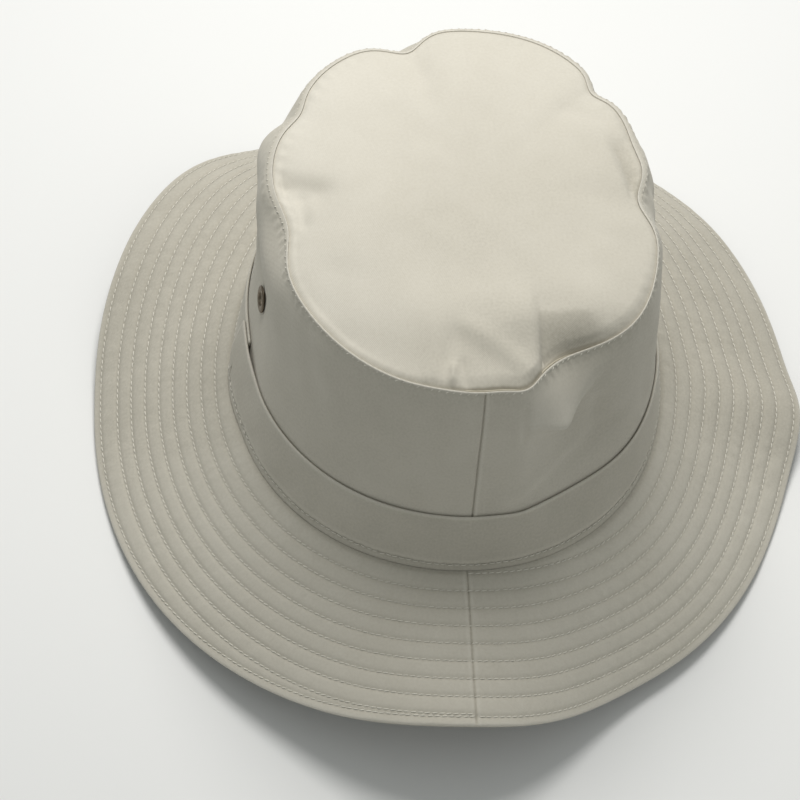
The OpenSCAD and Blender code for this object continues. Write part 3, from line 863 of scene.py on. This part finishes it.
def thread_material(name, tone):
    """Twisted thread: a fine slanting ripple over a soft colour drift."""
    g = Graph(name, Sheen_Weight=0.2, Specular_IOR_Level=0.35)
    at = g.node("ShaderNodeTexCoord", {}, {}, output=3)
    drift = g.noise(at, 260, 2.0)
    shade = g.blend((drift - 0.2).held(), dim(tone, 0.72), tone)
    twist = g.node(
        "ShaderNodeTexWave", {"bands_direction": "DIAGONAL"}, {"Vector": at, "Scale": 1500.0}
    )
    return g.show(shade, 0.62 + (drift - 0.5) * 0.2, g.bump(twist, 0.00004, 0.5))


def metal_material(name, tone):
    """Darkened brass: brown patina, rubbed bright in patches."""
    g = Graph(name, Metallic=1.0)
    at = g.node("ShaderNodeTexCoord", {}, {}, output=3)
    patina = g.noise(at, 700, 4.0)
    rubbed = ((patina - 0.56) * 5.0).held()
    shade = g.blend(rubbed * 0.5, tone, (0.62, 0.55, 0.42))
    return g.show(shade, 0.46 - rubbed * 0.16, g.bump(g.noise(at, 2600, 2.0), 0.00003, 0.5))


def studio_material(name, tone):
    """A matt painted floor with a faint mottle."""
    g = Graph(name, Specular_IOR_Level=0.2)
    at = g.node("ShaderNodeTexCoord", {}, {}, output=3)
    shade = g.blend(g.noise(at, 6, 3.0) * 0.25, tone, dim(tone, 0.94))
    return g.show(shade, 0.9 + g.noise(at, 40, 2.0) * 0.05)


def material(kind):
    """The hat's materials, each made once."""
    name = "Hat_" + kind
    if name in bpy.data.materials:
        return bpy.data.materials[name]
    c = bpy.context.scene.hat_colours
    cloth, worn_and_lit, deep_and_shade = tuple(c.cloth), tuple(c.cloth_worn_and_lit), tuple(c.cloth_deep_and_shade)
    makers = {
        "cloth": lambda: cloth_material(name, cloth, worn_and_lit, deep_and_shade),
        "under_cloth": lambda: cloth_material(name, dim(cloth, 0.9), dim(worn_and_lit, 0.9), deep_and_shade),
        "sweatband": lambda: cloth_material(name, cloth, worn_and_lit, deep_and_shade, weave=0.0008),
        "interlining": lambda: cloth_material(
            name, (0.62, 0.6, 0.52), (0.7, 0.68, 0.6), deep_and_shade, weave=0.0011
        ),
        "tape": lambda: cloth_material(name, tuple(c.tape), worn_and_lit, deep_and_shade, weave=0.0009),
        "label": lambda: cloth_material(
            name, tuple(c.label), (0.8, 0.79, 0.75), (0.4, 0.39, 0.35), weave=0.0005
        ),
        "thread": lambda: thread_material(name, tuple(c.thread)),
        "metal": lambda: metal_material(name, tuple(c.metal)),
    }
    return makers[kind]()


# --- The makers ---------------------------------------------------------------------


def hat():
    """The hat's curves, from the scene's sizes."""
    return Hat(bpy.context.scene.hat_sizes)


def grid(a, u):
    """Two rows of values as two grids."""
    return np.meshgrid(a, np.asarray(u, float), indexing="ij")


class HAT_OT_crown(bpy.types.Operator):
    """Makes the crown's wall and its tip"""

    bl_idname = "hat.crown"
    bl_label = "Crown"

    def execute(self, context):
        k = hat()
        self.wall(k)
        self.tip(k)
        return {"FINISHED"}

    def wall(self, k):
        """The wall's outer face, rolled over the tip seam, and its plain inner face."""
        a0 = azimuths(540, fine=(0, 359, 358.4))
        finer, last = k.crown_h - 10, k.crown_h - 0.8
        heights = np.append(np.linspace(0, finer, 60), np.linspace(finer, last, 30)[1:])
        a, h = grid(a0, heights)
        foot = k.beside(a0, k.wall_out, k.gap)[:, None]
        face = k.wall_skin(a, np.maximum(h, 0.6))
        turns = np.linspace(0.25, 1, 6) * math.pi / 2
        lip, r = k.gap / 2, k.seam_roll
        ridge = 0.16 * ripple(a0, 0 * a0, 21, (100, 160), 9)
        roll = []
        for t in turns:
            out = lip + (r - lip) * np.cos(t) * (1 + 0.3 * ridge)
            roll.append(k.crown_down(a0, r * (1 - np.sin(t)), out))
        inner = np.linspace(0.6, k.crown_h - 2.2, 26)
        b, g = grid(a0, inner)
        soft = k.wall_relief(b, g)
        back = np.concatenate(
            [
                k.beside(a0, k.wall_in, k.gap)[:, None],
                k.wall_face(b, g, soft - k.cloth_t),
                k.crown_down(a0, r, np.full(a0.shape, r - k.cloth_t))[:, None],
                k.crown_down(a0, k.cloth_t, lip)[:, None],
            ],
            axis=1,
        )
        face = np.concatenate([foot, face, np.stack(roll, 1)], axis=1)
        points = section(face, back)
        up = np.concatenate([[0], heights, k.crown_h - r + r * np.sin(turns)])
        up_back = np.concatenate([[0], inner, [k.crown_h - 1, k.crown_h]])
        cloth = np.stack(grid(a0 * k.girth / 360, np.concatenate([up[::-1], up_back])), -1)
        wear = np.full(points.shape[:2], EVEN)
        down = k.crown_h - up
        # Painted highlight, with wear, on the ridge where the wall rolls over the tip seam, and
        # painted shade in the furrow of the topstitching.
        rub_and_shading = 0.34 * dip(down, 0.6) - 0.08 * dip(down - k.stitch_drop, 0.5)
        # Painted shade round azimuth 308, towards the wearer's right at the back.
        shade = 0.1 * bell(a0, 308, 28)[:, None]
        wide, share, past = k.slump_patch(*grid(a0, down), 5)
        # A painted highlight on the slack patch below the notch, taken off the painted shade.
        shade = shade - 0.2 * wide * share * (1 - ease((past + 2) / 5))
        wear[:, : len(up)] += (rub_and_shading - shade + self.seam_shading(k, a0, up))[:, ::-1]
        piece = surface("crown_wall_cloth", points, cloth, wear)
        dress(piece, material("cloth"), "cloth", "crown_wall")

    def seam_shading(self, k, a0, up):
        """Painted shade in the back seam and a painted highlight on the ridge beside it."""
        a, h = grid(a0, up)
        across = turn(a, k.back_seam(h)) * k.girth / 360
        return -0.3 * dip(across, 0.4) + 0.12 * dip(across + 1.2, 0.7)

    def tip(self, k):
        """The tip's upper face from its middle out, its turned-down edge and its under face."""
        a0 = azimuths(540)
        shares = np.concatenate([np.linspace(0.02, 0.9, 45), np.linspace(0.91, 0.996, 22)])
        a, q = grid(a0, shares)
        top = k.tip_skin(a, q)
        down = k.tip_sink(a0)[0]
        edge = k.crown_down(a0, down + 0.05, -k.gap / 2)[:, None]
        b, h = grid(a0, [0.7, 2.5, 5, k.seam_allowance])
        turned = k.crown_down(b, np.maximum(h, down[:, None] + 0.4), -k.gap / 2)
        inner = k.crown_down(b[:, :3], h[:, 3:0:-1], -k.gap / 2 - k.cloth_t)
        c, p = grid(a0, np.linspace(0.98, 0.05, 20))
        below = k.tip_skin(c, p, k.cloth_t)
        points = np.concatenate([top, edge, turned, inner, below], axis=1)
        cloth = points[..., :2].copy()
        wear = np.full(points.shape[:2], 0.52)
        inwards = (1 - shares) * k.tip_w / 2
        # Painted shade in the crevice beside the tip seam, darker where the tip sinks deeper.
        crevice_shade = 0.1 + 0.42 * np.maximum(down - 0.8, 0)
        shown = wear[:, : len(shares)]
        x, y = top[..., 0], top[..., 1]
        shown -= crevice_shade[:, None] * dip(inwards - 0.6 * down[:, None], 0.6)
        # Painted shade in the creases.
        shown += k.creases(x, y, TIP_CREASE_SHADES)
        # Painted shade on the facets.
        shown += k.facets(x, y)[1]
        # Painted light: the tip grows paler towards the wearer's left and towards the front.
        left, front = 2 * x / k.tip_w, -2 * y / k.tip_l
        shown += 0.15 * ease(left / 0.8) + 0.15 * ease(front / 0.8)
        middle = np.zeros(1)
        poles = [k.tip_skin(middle, middle, down)[0] for down in (0.0, k.cloth_t)]
        piece = surface("crown_tip_cloth", points, cloth, wear, poles=poles)
        dress(piece, material("cloth"), "cloth", "crown_tip")


class HAT_OT_hatband(bpy.types.Operator):
    """Makes the band round the crown"""

    bl_idname = "hat.hatband"
    bl_label = "Hatband"

    def execute(self, context):
        k = hat()
        s0 = np.linspace(0, 366, 620)
        high, r = k.hatband_h, k.hatband_t / 2
        heights = np.concatenate([[0.4], np.linspace(0.9, 6, 18), np.linspace(6.6, high - r, 26)])
        s, h = grid(s0, heights)
        face = k.band_face(s, h)
        turns = np.linspace(0.2, 1, 5) * math.pi / 2
        b, t = grid(s0, turns)
        top = k.band_face(b, high - r + r * np.sin(t), -r * (1 - np.cos(t)))
        inner = np.append(0.4, np.linspace(2, high - r, 10))
        b, g = grid(s0, inner)
        back = k.band_face(b, g, -k.hatband_t)
        points = section(np.concatenate([face, top], axis=1), back)
        up = np.concatenate([heights, high - r + r * np.sin(turns)])
        both = np.concatenate([up[::-1], inner])
        cloth = np.stack(grid(s0 * k.girth / 360 + 37, both + 5), -1)
        wear = np.full(points.shape[:2], 0.46)
        # Painted highlights, with wear, on the folded top edge and on the puff above the stitching,
        # and painted shade along the row of stitches.
        rub_and_shading = 0.3 * dip(up - high, 0.8) - 0.14 * dip(up - k.hatband_stitch_h, 0.8)
        rub_and_shading = rub_and_shading + 0.12 * dip(up - 5.2, 0.9)
        # Painted shade round the back and towards the wearer's right.
        shade = 0.08 * bell(k.lap_at + s0, 350, 40) + 0.08 * bell(k.lap_at + s0, 305, 28)
        wear[:, : len(up)] += rub_and_shading[::-1] - shade[:, None]
        piece = surface("hatband_cloth", points, cloth, wear, around=False)
        dress(piece, material("cloth"), "cloth", "hatband")
        return {"FINISHED"}


class HAT_OT_brim(bpy.types.Operator):
    """Makes the brim's upper cloth, lower cloth and interlining"""

    bl_idname = "hat.brim"
    bl_label = "Brim"

    def execute(self, context):
        k = hat()
        self.upper(k)
        self.lower(k)
        self.middle(k)
        return {"FINISHED"}

    def line(self, k, a0, count, last):
        """Evenly spaced distances out along the brim at each azimuth, from just short of its edge
        in to the seam."""
        w = k.brim_width(a0)[:, None] - last
        return np.linspace(1, 0, count)[None] * w

    def turned(self, k, a0, levels, out):
        """The cloth's allowance, turned up inside the crown's foot."""
        return np.stack([k.crown_up(a0, h, out) for h in levels], 1)

    def map_run(self, a0, first, u, last, count):
        """Distances out along a brim cloth for its map: those at its edge, its own, and one value
        for the last points of the turned-up allowance."""
        return np.concatenate([first, u, np.full((len(a0), count), last)], 1)

    def flat(self, k, a0, u):
        """Where the cloth lay in the flat cut: distance from the seam along its radius."""
        radius = u + k.girth / (2 * math.pi)
        return np.stack([radius * sin_d(a0)[:, None], radius * cos_d(a0)[:, None]], -1)

    def tone(self, k, a, u, sign=1.0):
        """Painted highlights on the swells, on the ridges beside the back seam and, with wear, on
        the edge; painted shade along the rows, in the back seam, beside the brim seam, towards the
        sides and the front, and towards the wearer's right. The sign says on which side of a row
        the painted shade lies."""
        lines = [k.row_at(a, n) for n in range(k.rows)] + [k.edge_line(a)]
        rows = sum(dip(u - x - 0.35 * sign, 0.55) for x in lines)
        across = k.from_back(a, u)
        edge = k.brim_width(a) - u
        return (
            EVEN + 0.06 * (k.quilt(a, u) / k.quilt_puff - 0.5) - 0.06 * np.minimum(rows, 1)
            + 0.25 * dip(edge, 1.3) - 0.25 * dip(across, 0.4) + 0.1 * dip(np.abs(across) - 1.3, 0.7)
            - 0.1 * dip(u, 1.6) + 0.04 - 0.16 * ease((0.45 - cos_d(a)) / 0.45)
            - 0.08 * bell(a, 262, 30)
        )

    def upper(self, k):
        """The upper cloth: its quilted face, its rim and its plain back."""
        a0 = azimuths(600, fine=(0,))
        u = self.line(k, a0, 128, k.edge_round)
        a = a0[:, None] + 0 * u
        w = k.brim_width(a0)
        face = k.brim(a, u, k.brim_relief(a, u))
        rim = k.brim(a0, w, -k.edge_round)[:, None]
        turned = self.turned(k, a0, (0.1, 4, k.seam_allowance), k.top_turn_out)
        b = self.line(k, a0, 14, k.cloth_t)
        c = a0[:, None] + 0 * b
        joint = k.rim_joint + k.gap
        back = np.concatenate(
            [
                k.brim(a0, w, joint)[:, None],
                k.brim(a0, w - k.cloth_t, joint)[:, None],
                k.brim(c, b, -k.cloth_t),
                self.turned(k, a0, (-0.7, k.seam_allowance), k.top_turn_out - k.cloth_t),
            ],
            axis=1,
        )
        points = section(np.concatenate([rim, face, turned], axis=1), back)
        edge = w[:, None]
        foot = -k.top_turn_out - 0 * edge
        along = self.map_run(a0, edge + 0.3, np.concatenate([u, foot], 1), -6.0, 2)
        along_back = self.map_run(a0, np.concatenate([edge, edge - 0.7], 1), b, -4.0, 2)
        cloth = self.flat(k, a0, np.concatenate([along[:, ::-1], along_back], 1))
        wear = np.full(points.shape[:2], EVEN)
        start, end = turned.shape[1], turned.shape[1] + u.shape[1]
        wear[:, start:end] = self.tone(k, a, u)[:, ::-1]
        # A painted highlight, with wear, on the rim.
        wear[:, end] = 0.78
        piece = surface("brim_top_quilted", points, cloth, wear)
        dress(piece, material("cloth"), "brim_cloth", "brim_top_cloth")

    def lower(self, k):
        """The lower cloth: its plain inner face, its rim and its quilted underside."""
        a0 = azimuths(600, fine=(0,))
        u = self.line(k, a0, 120, k.edge_round)
        a = a0[:, None] + 0 * u
        w = k.brim_width(a0)
        b = self.line(k, a0, 14, k.cloth_t)
        c = a0[:, None] + 0 * b
        face = np.concatenate(
            [
                k.brim(a0, w, k.rim_joint)[:, None],
                k.brim(a0, w - k.cloth_t, k.rim_joint)[:, None],
                k.brim(c, b, k.under_top),
                self.turned(k, a0, (k.under_top, k.seam_allowance), k.under_turn_out),
            ],
            axis=1,
        )
        levels = (k.under_face, 2, k.seam_allowance)
        back = np.concatenate(
            [
                k.brim(a0, w, k.under_face + k.edge_round)[:, None],
                k.brim(a, u, k.under_skin(a, u)),
                self.turned(k, a0, levels, k.under_turn_out - k.cloth_t),
            ],
            axis=1,
        )
        points = section(face, back)
        edge = w[:, None]
        along = self.map_run(a0, np.concatenate([edge, edge - 0.7], 1), b, -4.0, 2)
        along_back = self.map_run(a0, edge + 0.3, u, -5.0, 3)
        cloth = self.flat(k, a0, np.concatenate([along[:, ::-1], along_back], 1) + 400)
        wear = np.full(points.shape[:2], EVEN)
        start = face.shape[1] + 1
        wear[:, start : start + u.shape[1]] = self.tone(k, a, u, -1.0)
        piece = surface("brim_under_quilted", points, cloth, wear)
        dress(piece, material("under_cloth"), "under_cloth", "brim_under_cloth")

    def middle(self, k):
        """The interlining, a plain layer between the two cloths."""
        a0 = azimuths(240)
        u = self.line(k, a0, 12, k.cloth_t + k.gap)
        a = a0[:, None] + 0 * u
        top, low = k.interlining_top, k.interlining_top - k.interlining_t
        face, back = (
            np.concatenate([k.brim(a, u, v), k.beside(a0, -k.hatband_t, v)[:, None]], 1)
            for v in (top, low)
        )
        points = section(face, back)
        along = np.concatenate([u, 0 * u[:, :1] - 1], 1)
        cloth = self.flat(k, a0, np.concatenate([along[:, ::-1], along], 1))
        piece = surface("brim_interlining_layer", points, cloth, EVEN)
        dress(piece, material("interlining"), "interlining", "brim_interlining")


class HAT_OT_inside(bpy.types.Operator):
    """Makes the sweatband, the seam tapes and the blank label"""

    bl_idname = "hat.inside"
    bl_label = "Inside"

    def execute(self, context):
        k = hat()
        self.sweatband(k)
        self.tip_tape(k)
        self.patches(k)
        return {"FINISHED"}

    def sweatband(self, k):
        """A folded band with a round upper edge, a furrow along its hem and soft ripples."""
        a0 = azimuths(420)
        high, r = k.sweatband_h, k.sweatband_t / 2
        low_row, high_row = k.sweatband_rows

        def skin(a, h, o):
            dips = 0.22 * dip(h - high_row, 0.7) + 0.2 * dip(h - low_row, 0.7)
            soft = 0.16 * ripple(a, h, 31, (6, 26), 50) * arch(h / high)
            return k.crown_up(a, h, k.sweatband_out + o + dips * (o < 0) + soft)

        outer, inner = (np.linspace(0.2, high - r, count) for count in (16, 60))
        a, h = grid(a0, outer)
        b, g = grid(a0, inner)
        turns = np.linspace(0.15, 1.85, 7) * math.pi / 2
        c, t = grid(a0, turns)
        top = k.crown_up(c, high - r + r * np.sin(t), k.sweatband_out - r * (1 - np.cos(t)))
        parts = [top[:, ::-1], skin(a, h, 0 * h)[:, ::-1], skin(b, g, 0 * g - 2 * r)]
        points = np.concatenate(parts, 1)
        up = np.concatenate([np.full(len(turns), high), outer[::-1], inner])
        cloth = np.stack(grid(a0 * k.girth / 360, up + 210), -1)
        wear = np.full(points.shape[:2], EVEN)
        # Painted shade along the two rows of stitching, and a painted highlight, with wear, on the
        # folded upper edge.
        rows = -0.15 * dip(inner - high_row, 0.8) - 0.14 * dip(inner - low_row, 0.8)
        wear[:, -len(inner) :] += rows
        wear[:, : len(turns)] += 0.2
        piece = surface("sweatband_cloth", points, cloth, wear)
        dress(piece, material("sweatband"), "sweatband", "sweatband")

    def tip_tape(self, k):
        """The tape over the tip seam, with a faint rib along each selvage."""
        plies = k.cloth_t + 2 * k.gap
        a0 = azimuths(420)
        down = np.linspace(plies, k.tip_tape_w, 22)
        a, h = grid(a0, down)
        rib = 0.1 * (dip(h - down[0] - 1, 0.5) + dip(h - down[-1] + 1, 0.5))
        out = np.minimum(k.shoulder(a, h), 0.6 * h) - plies
        face = k.crown_down(a, h, out)[:, ::-1]
        back = k.crown_down(a, h, out - k.tape_t - rib)[:, ::-1]
        points = section(face, back)
        along = np.concatenate([down, down[::-1]])
        cloth = np.stack(grid(a0 * k.girth / 360, along + 60), -1)
        piece = surface("tip_seam_binding", points, cloth, EVEN)
        dress(piece, material("tape"), "tape", "tip_seam_tape")

    def patches(self, k):
        """The back seam's tape, with a rib along each selvage, and the blank folded label."""
        width = k.back_tape_w / k.girth * 360
        far = np.linspace(-width / 2, width / 2, 31)
        high = np.linspace(k.seam_allowance + k.gap, k.crown_h - k.tip_tape_w - k.gap, 40)
        h, a = grid(high, far)
        rib = 0.12 * dip(np.abs(a) - width / 2 + 0.5, 0.2)
        off = k.wall_relief(a, h) - k.cloth_t - 2 * k.gap
        face, back = (k.wall_face(a, h, off - t) for t in (0, k.tape_t + rib))
        self.patch(k, "back_seam_binding", face, back, h, a, "tape", "back_seam_tape")
        width = k.label_w / k.girth * 360
        far = np.linspace(-width / 2, width / 2, 41)
        low = (k.sweatband_h - k.label_h) / 2
        high = np.linspace(low, low + k.label_h, 24)
        h, a = grid(high, far)
        inset = (k.label_hem, k.label_h - k.label_hem)
        hem = sum(0.16 * dip(h - low - hem_at, 0.5) for hem_at in inset)
        curl = 0.5 * (np.abs(a) / (width / 2)) ** 6
        face, back = (k.crown_up(a, h, k.label_out - 0.1 - curl - t) for t in (0, k.tape_t - hem))
        self.patch(k, "blank_label_cloth", face, back, h, a, "label", "size_label")

    def patch(self, k, name, face, back, h, a, kind, node):
        """A small sheet from its outer face and its back, level row by level row."""
        points = np.concatenate([face[:, ::-1], back], axis=1)
        flat = np.stack([a * k.girth / 360, h + 300], -1)
        cloth = np.concatenate([flat[:, ::-1], flat], axis=1)
        piece = surface(name, points, cloth, EVEN, around=False)
        dress(piece, material(kind), kind, node)


class HAT_OT_stitching(bpy.types.Operator):
    """Makes every row of stitches"""

    bl_idname = "hat.stitching"
    bl_label = "Stitching"

    def execute(self, context):
        k = hat()
        pitch, thick, step = k.stitch_pitch, k.thread_d, 0.4
        s = np.arange(0, 360 * k.rows, step)
        a, turns = -s, np.floor(s / 360)
        u = k.row_at(a, turns)
        over, under = self.over(k, a, u), self.under(k, a, u)
        self.row("brim_quilting_stitches", [over], pitch, thick, 1, "brim_quilting")
        self.row("brim_under_stitches", [under], pitch, thick, 2)
        a = np.arange(0, 360.2, step)
        u = k.edge_line(a)
        over, under = self.over(k, a, u), self.under(k, a, u)
        self.row("brim_edge_stitches", [over, under], pitch, thick, 3, "brim_edge_stitch")
        h = np.full(a.shape, k.crown_h - k.stitch_drop)
        top = (k.wall_face(a, h, k.wall_relief(a, h) - 0.02), k.out(a) + vector(0, 0, 0.5))
        self.row(
            "tip_topstitches", [top], pitch, 0.7 * thick, 4, "tip_topstitch", slant=40, share=0.5
        )
        s = np.arange(0.5, 365.4, step)
        h = np.full(s.shape, k.hatband_stitch_h)
        band = (k.band_face(s, h, 0.1), k.out(k.lap_at + s))
        rise = np.linspace(2.5, 9, 30)
        s = np.full(rise.shape, 362.5)
        tack = (k.band_face(s, rise, 0.12), k.out(k.lap_at + s))
        self.row("hatband_stitches", [band, tack], pitch, thick, 5, "hatband_stitch")
        inner = k.sweatband_out - k.sweatband_t + 0.12
        hems = [
            (k.crown_up(a, np.full(a.shape, h), inner + 0 * a), -k.out(a))
            for h in k.sweatband_rows
        ]
        self.row("sweatband_stitches", hems, pitch, thick, 6)
        return {"FINISHED"}

    def over(self, k, a, u):
        """A row's path on the upper cloth, and the directions off it."""
        return k.brim(a, u, k.brim_relief(a, u) + 0.1), k.brim_up(a)

    def under(self, k, a, u):
        """A row's path on the lower cloth, and the directions off it."""
        low = k.under_face + 0.385 * ease(u / 4) - k.under_share * k.brim_relief(a, u) - 0.08
        return k.brim(a, u, low), -k.brim_up(a)

    def row(self, name, paths, pitch, thick, seed, *nodes, slant=8, share=0.8):
        """One piece of thread, with the solids that it stands for."""
        piece = stitches(name, paths, pitch, thick, seed, slant, share)
        dress(piece, material("thread"), "thread", *nodes)


class HAT_OT_eyelets(bpy.types.Operator):
    """Makes the vent eyelets and finishes their washers"""

    bl_idname = "hat.eyelets"
    bl_label = "Vent eyelets"

    def execute(self, context):
        k = hat()
        for side in ("left_rear", "left_front", "right_rear", "right_front"):
            self.eyelet(side, k)
            washer = frame["nodes"]["vent_washer_" + side]
            washer.data.materials.clear()
            washer.data.materials.append(material("metal"))
        return {"FINISHED"}

    def eyelet(self, side, k):
        """A rolled flange and a barrel: a profile of radius and height turned about the axis."""
        mount = MOUNTS["vent_" + side]
        axis = np.array(mount["axis"])
        at = np.array(mount["pos_m"]) * 1000
        r, flange, metal = mount["dims"]["r_mm"], k.vent_flange_r, k.vent_metal_t
        reach = self.reach(side, at, axis)
        face, foot = reach[1] - 2 * metal, reach[0]
        t = np.linspace(0, 1, 9) * math.pi
        crest = face + 0.35
        middle, half = (flange + r + 0.3) / 2, (flange - r - 0.3) / 2
        rolled = [(middle + half * math.cos(x), crest + 0.62 * math.sin(x)) for x in t]
        bore = [(r, face), (r, foot + 0.1), (r + 0.12, foot)]
        collar = [
            (r + 1.0, foot), (r + 1.15, foot + metal / 2), (r + 1.0, foot + metal),
            (r + metal, foot + metal), (r + metal, face),
        ]
        outside = [(flange - 0.25, face), (flange, face + 0.15)]
        profile = np.array([*outside, *rolled, *bore, *collar])
        b = np.linspace(0, 360, 65)[:, None]
        side_way = unit(np.cross(axis, [0, 0, 1.0]))
        up_way = np.cross(side_way, axis)
        around = side_way * cos_d(b) + up_way * sin_d(b)
        points = at + around[:, None] * profile[None, :, :1] + axis * profile[None, :, 1:]
        piece = surface("vent_eyelet_rolled_" + side, points - SEAM_CENTRE)
        dress(piece, material("metal"), "eyelet_metal", "vent_eyelet_" + side)

    def reach(self, side, at, axis):
        """How far the eyelet's solid reaches along its axis, back and forth from its mount."""
        mesh = frame["nodes"]["vent_eyelet_" + side].data
        co = np.zeros(len(mesh.vertices) * 3)
        mesh.vertices.foreach_get("co", co)
        along = (co.reshape(-1, 3) * 1000 - at) @ axis
        return along.min(), along.max()


class HAT_OT_studio(bpy.types.Operator):
    """Makes the floor, the lights and the camera"""

    bl_idname = "hat.studio"
    bl_label = "Studio"

    # The camera: azimuth, elevation and roll in degrees, distance in metres, focal length in
    # sensor widths, aim off the axis in sensor widths, and the aimed point above the seam.
    view = (172.5, 55.1, 4.3, 1.2028, 3.846875, (0.055125, -0.136), 0.040)

    def execute(self, context):
        look = context.scene.studio_look
        self.floor(look)
        self.camera(context)
        middle = Vector((0, 0, 0.08))
        self.light("Key", (0.0, -0.36, 0.83), 0.5, look.key, middle, (1.0, 0.985, 0.965))
        self.light("Fill", (-1.3, 0.9, 1.2), 1.6, look.fill, middle)
        world = bpy.data.worlds.new("Studio")
        world.use_nodes = True
        sky = world.node_tree.nodes["Background"]
        sky.inputs["Color"].default_value = (0.93, 0.97, 0.95, 1)
        sky.inputs["Strength"].default_value = look.sky
        context.scene.world = world
        context.scene.view_settings.view_transform = "Standard"
        return {"FINISHED"}

    def floor(self, look):
        """A pale square floor."""
        mesh = bpy.data.meshes.new("studio_floor")
        mesh.from_pydata([(-4, -4, 0), (4, -4, 0), (4, 4, 0), (-4, 4, 0)], [], [(0, 1, 2, 3)])
        piece = finish_mesh("studio_floor", mesh)
        piece.data.materials.append(studio_material("Studio_floor", tuple(look.floor)))

    def camera(self, context):
        """The camera, looking down on the hat from behind it."""
        azimuth, elevation, roll, distance, focal, aim, height = self.view
        a, e, r = (math.radians(x) for x in (azimuth, elevation, roll))
        back = np.array([math.sin(a) * math.cos(e), -math.cos(a) * math.cos(e), math.sin(e)])
        target = SEAM_CENTRE * MM + np.array([0, 0, height])
        right = unit(np.cross(-back, [0, 0, 1.0]))
        up = np.cross(right, -back)
        ahead = unit(right * -aim[0] + up * aim[1] - back * focal)
        level = unit(np.cross(ahead, up))
        rise = np.cross(level, ahead)
        side = level * math.cos(r) + rise * math.sin(r)
        top = -level * math.sin(r) + rise * math.cos(r)
        data = bpy.data.cameras.new("Camera")
        data.sensor_width = 36
        data.lens = focal * data.sensor_width
        data.clip_start, data.clip_end = 0.05, 20
        camera = bpy.data.objects.new("Camera", data)
        context.scene.collection.objects.link(camera)
        place = Matrix(np.column_stack([side, top, -ahead]).tolist()).to_4x4()
        place.translation = Vector(target + back * distance)
        camera.matrix_world = place
        context.scene.camera = camera

    def light(self, name, place, wide, power, aim, tint=(1.0, 1.0, 1.0)):
        """A round lamp at a place, turned towards the aim."""
        data = bpy.data.lights.new(name, "AREA")
        data.color = tint
        data.shape, data.size, data.energy = "DISK", wide, power
        lamp = bpy.data.objects.new(name, data)
        lamp.location = place
        lamp.rotation_euler = (aim - Vector(place)).to_track_quat("-Z", "Y").to_euler()
        bpy.context.scene.collection.objects.link(lamp)


MAKERS = (
    HAT_OT_crown, HAT_OT_hatband, HAT_OT_brim, HAT_OT_inside, HAT_OT_stitching, HAT_OT_eyelets,
    HAT_OT_studio,
)


class HAT_PT_panel(bpy.types.Panel):
    """Lists the hat's makers and its sizes"""

    bl_idname = "HAT_PT_panel"
    bl_label = "Boonie hat"
    bl_space_type = "VIEW_3D"
    bl_region_type = "UI"
    bl_category = "Boonie hat"

    def draw(self, context):
        for maker in MAKERS:
            self.layout.operator(maker.bl_idname)
        for group in ("hat_sizes", "hat_colours", "studio_look"):
            box = self.layout.box()
            values = getattr(context.scene, group)
            for name in type(values).__annotations__:
                box.prop(values, name)


CLASSES = (HatSizes, HatColours, StudioLook, *MAKERS, HAT_PT_panel)


def register():
    for item in CLASSES:
        bpy.utils.register_class(item)
    bpy.types.Scene.hat_sizes = PointerProperty(type=HatSizes)
    bpy.types.Scene.hat_colours = PointerProperty(type=HatColours)
    bpy.types.Scene.studio_look = PointerProperty(type=StudioLook)


def unregister():
    for name in ("hat_sizes", "hat_colours", "studio_look"):
        delattr(bpy.types.Scene, name)
    for item in reversed(CLASSES):
        bpy.utils.unregister_class(item)


def main():
    register()
    for maker in MAKERS:
        group, name = maker.bl_idname.split(".")
        getattr(getattr(bpy.ops, group), name)()


if __name__ == "__main__":
    main()
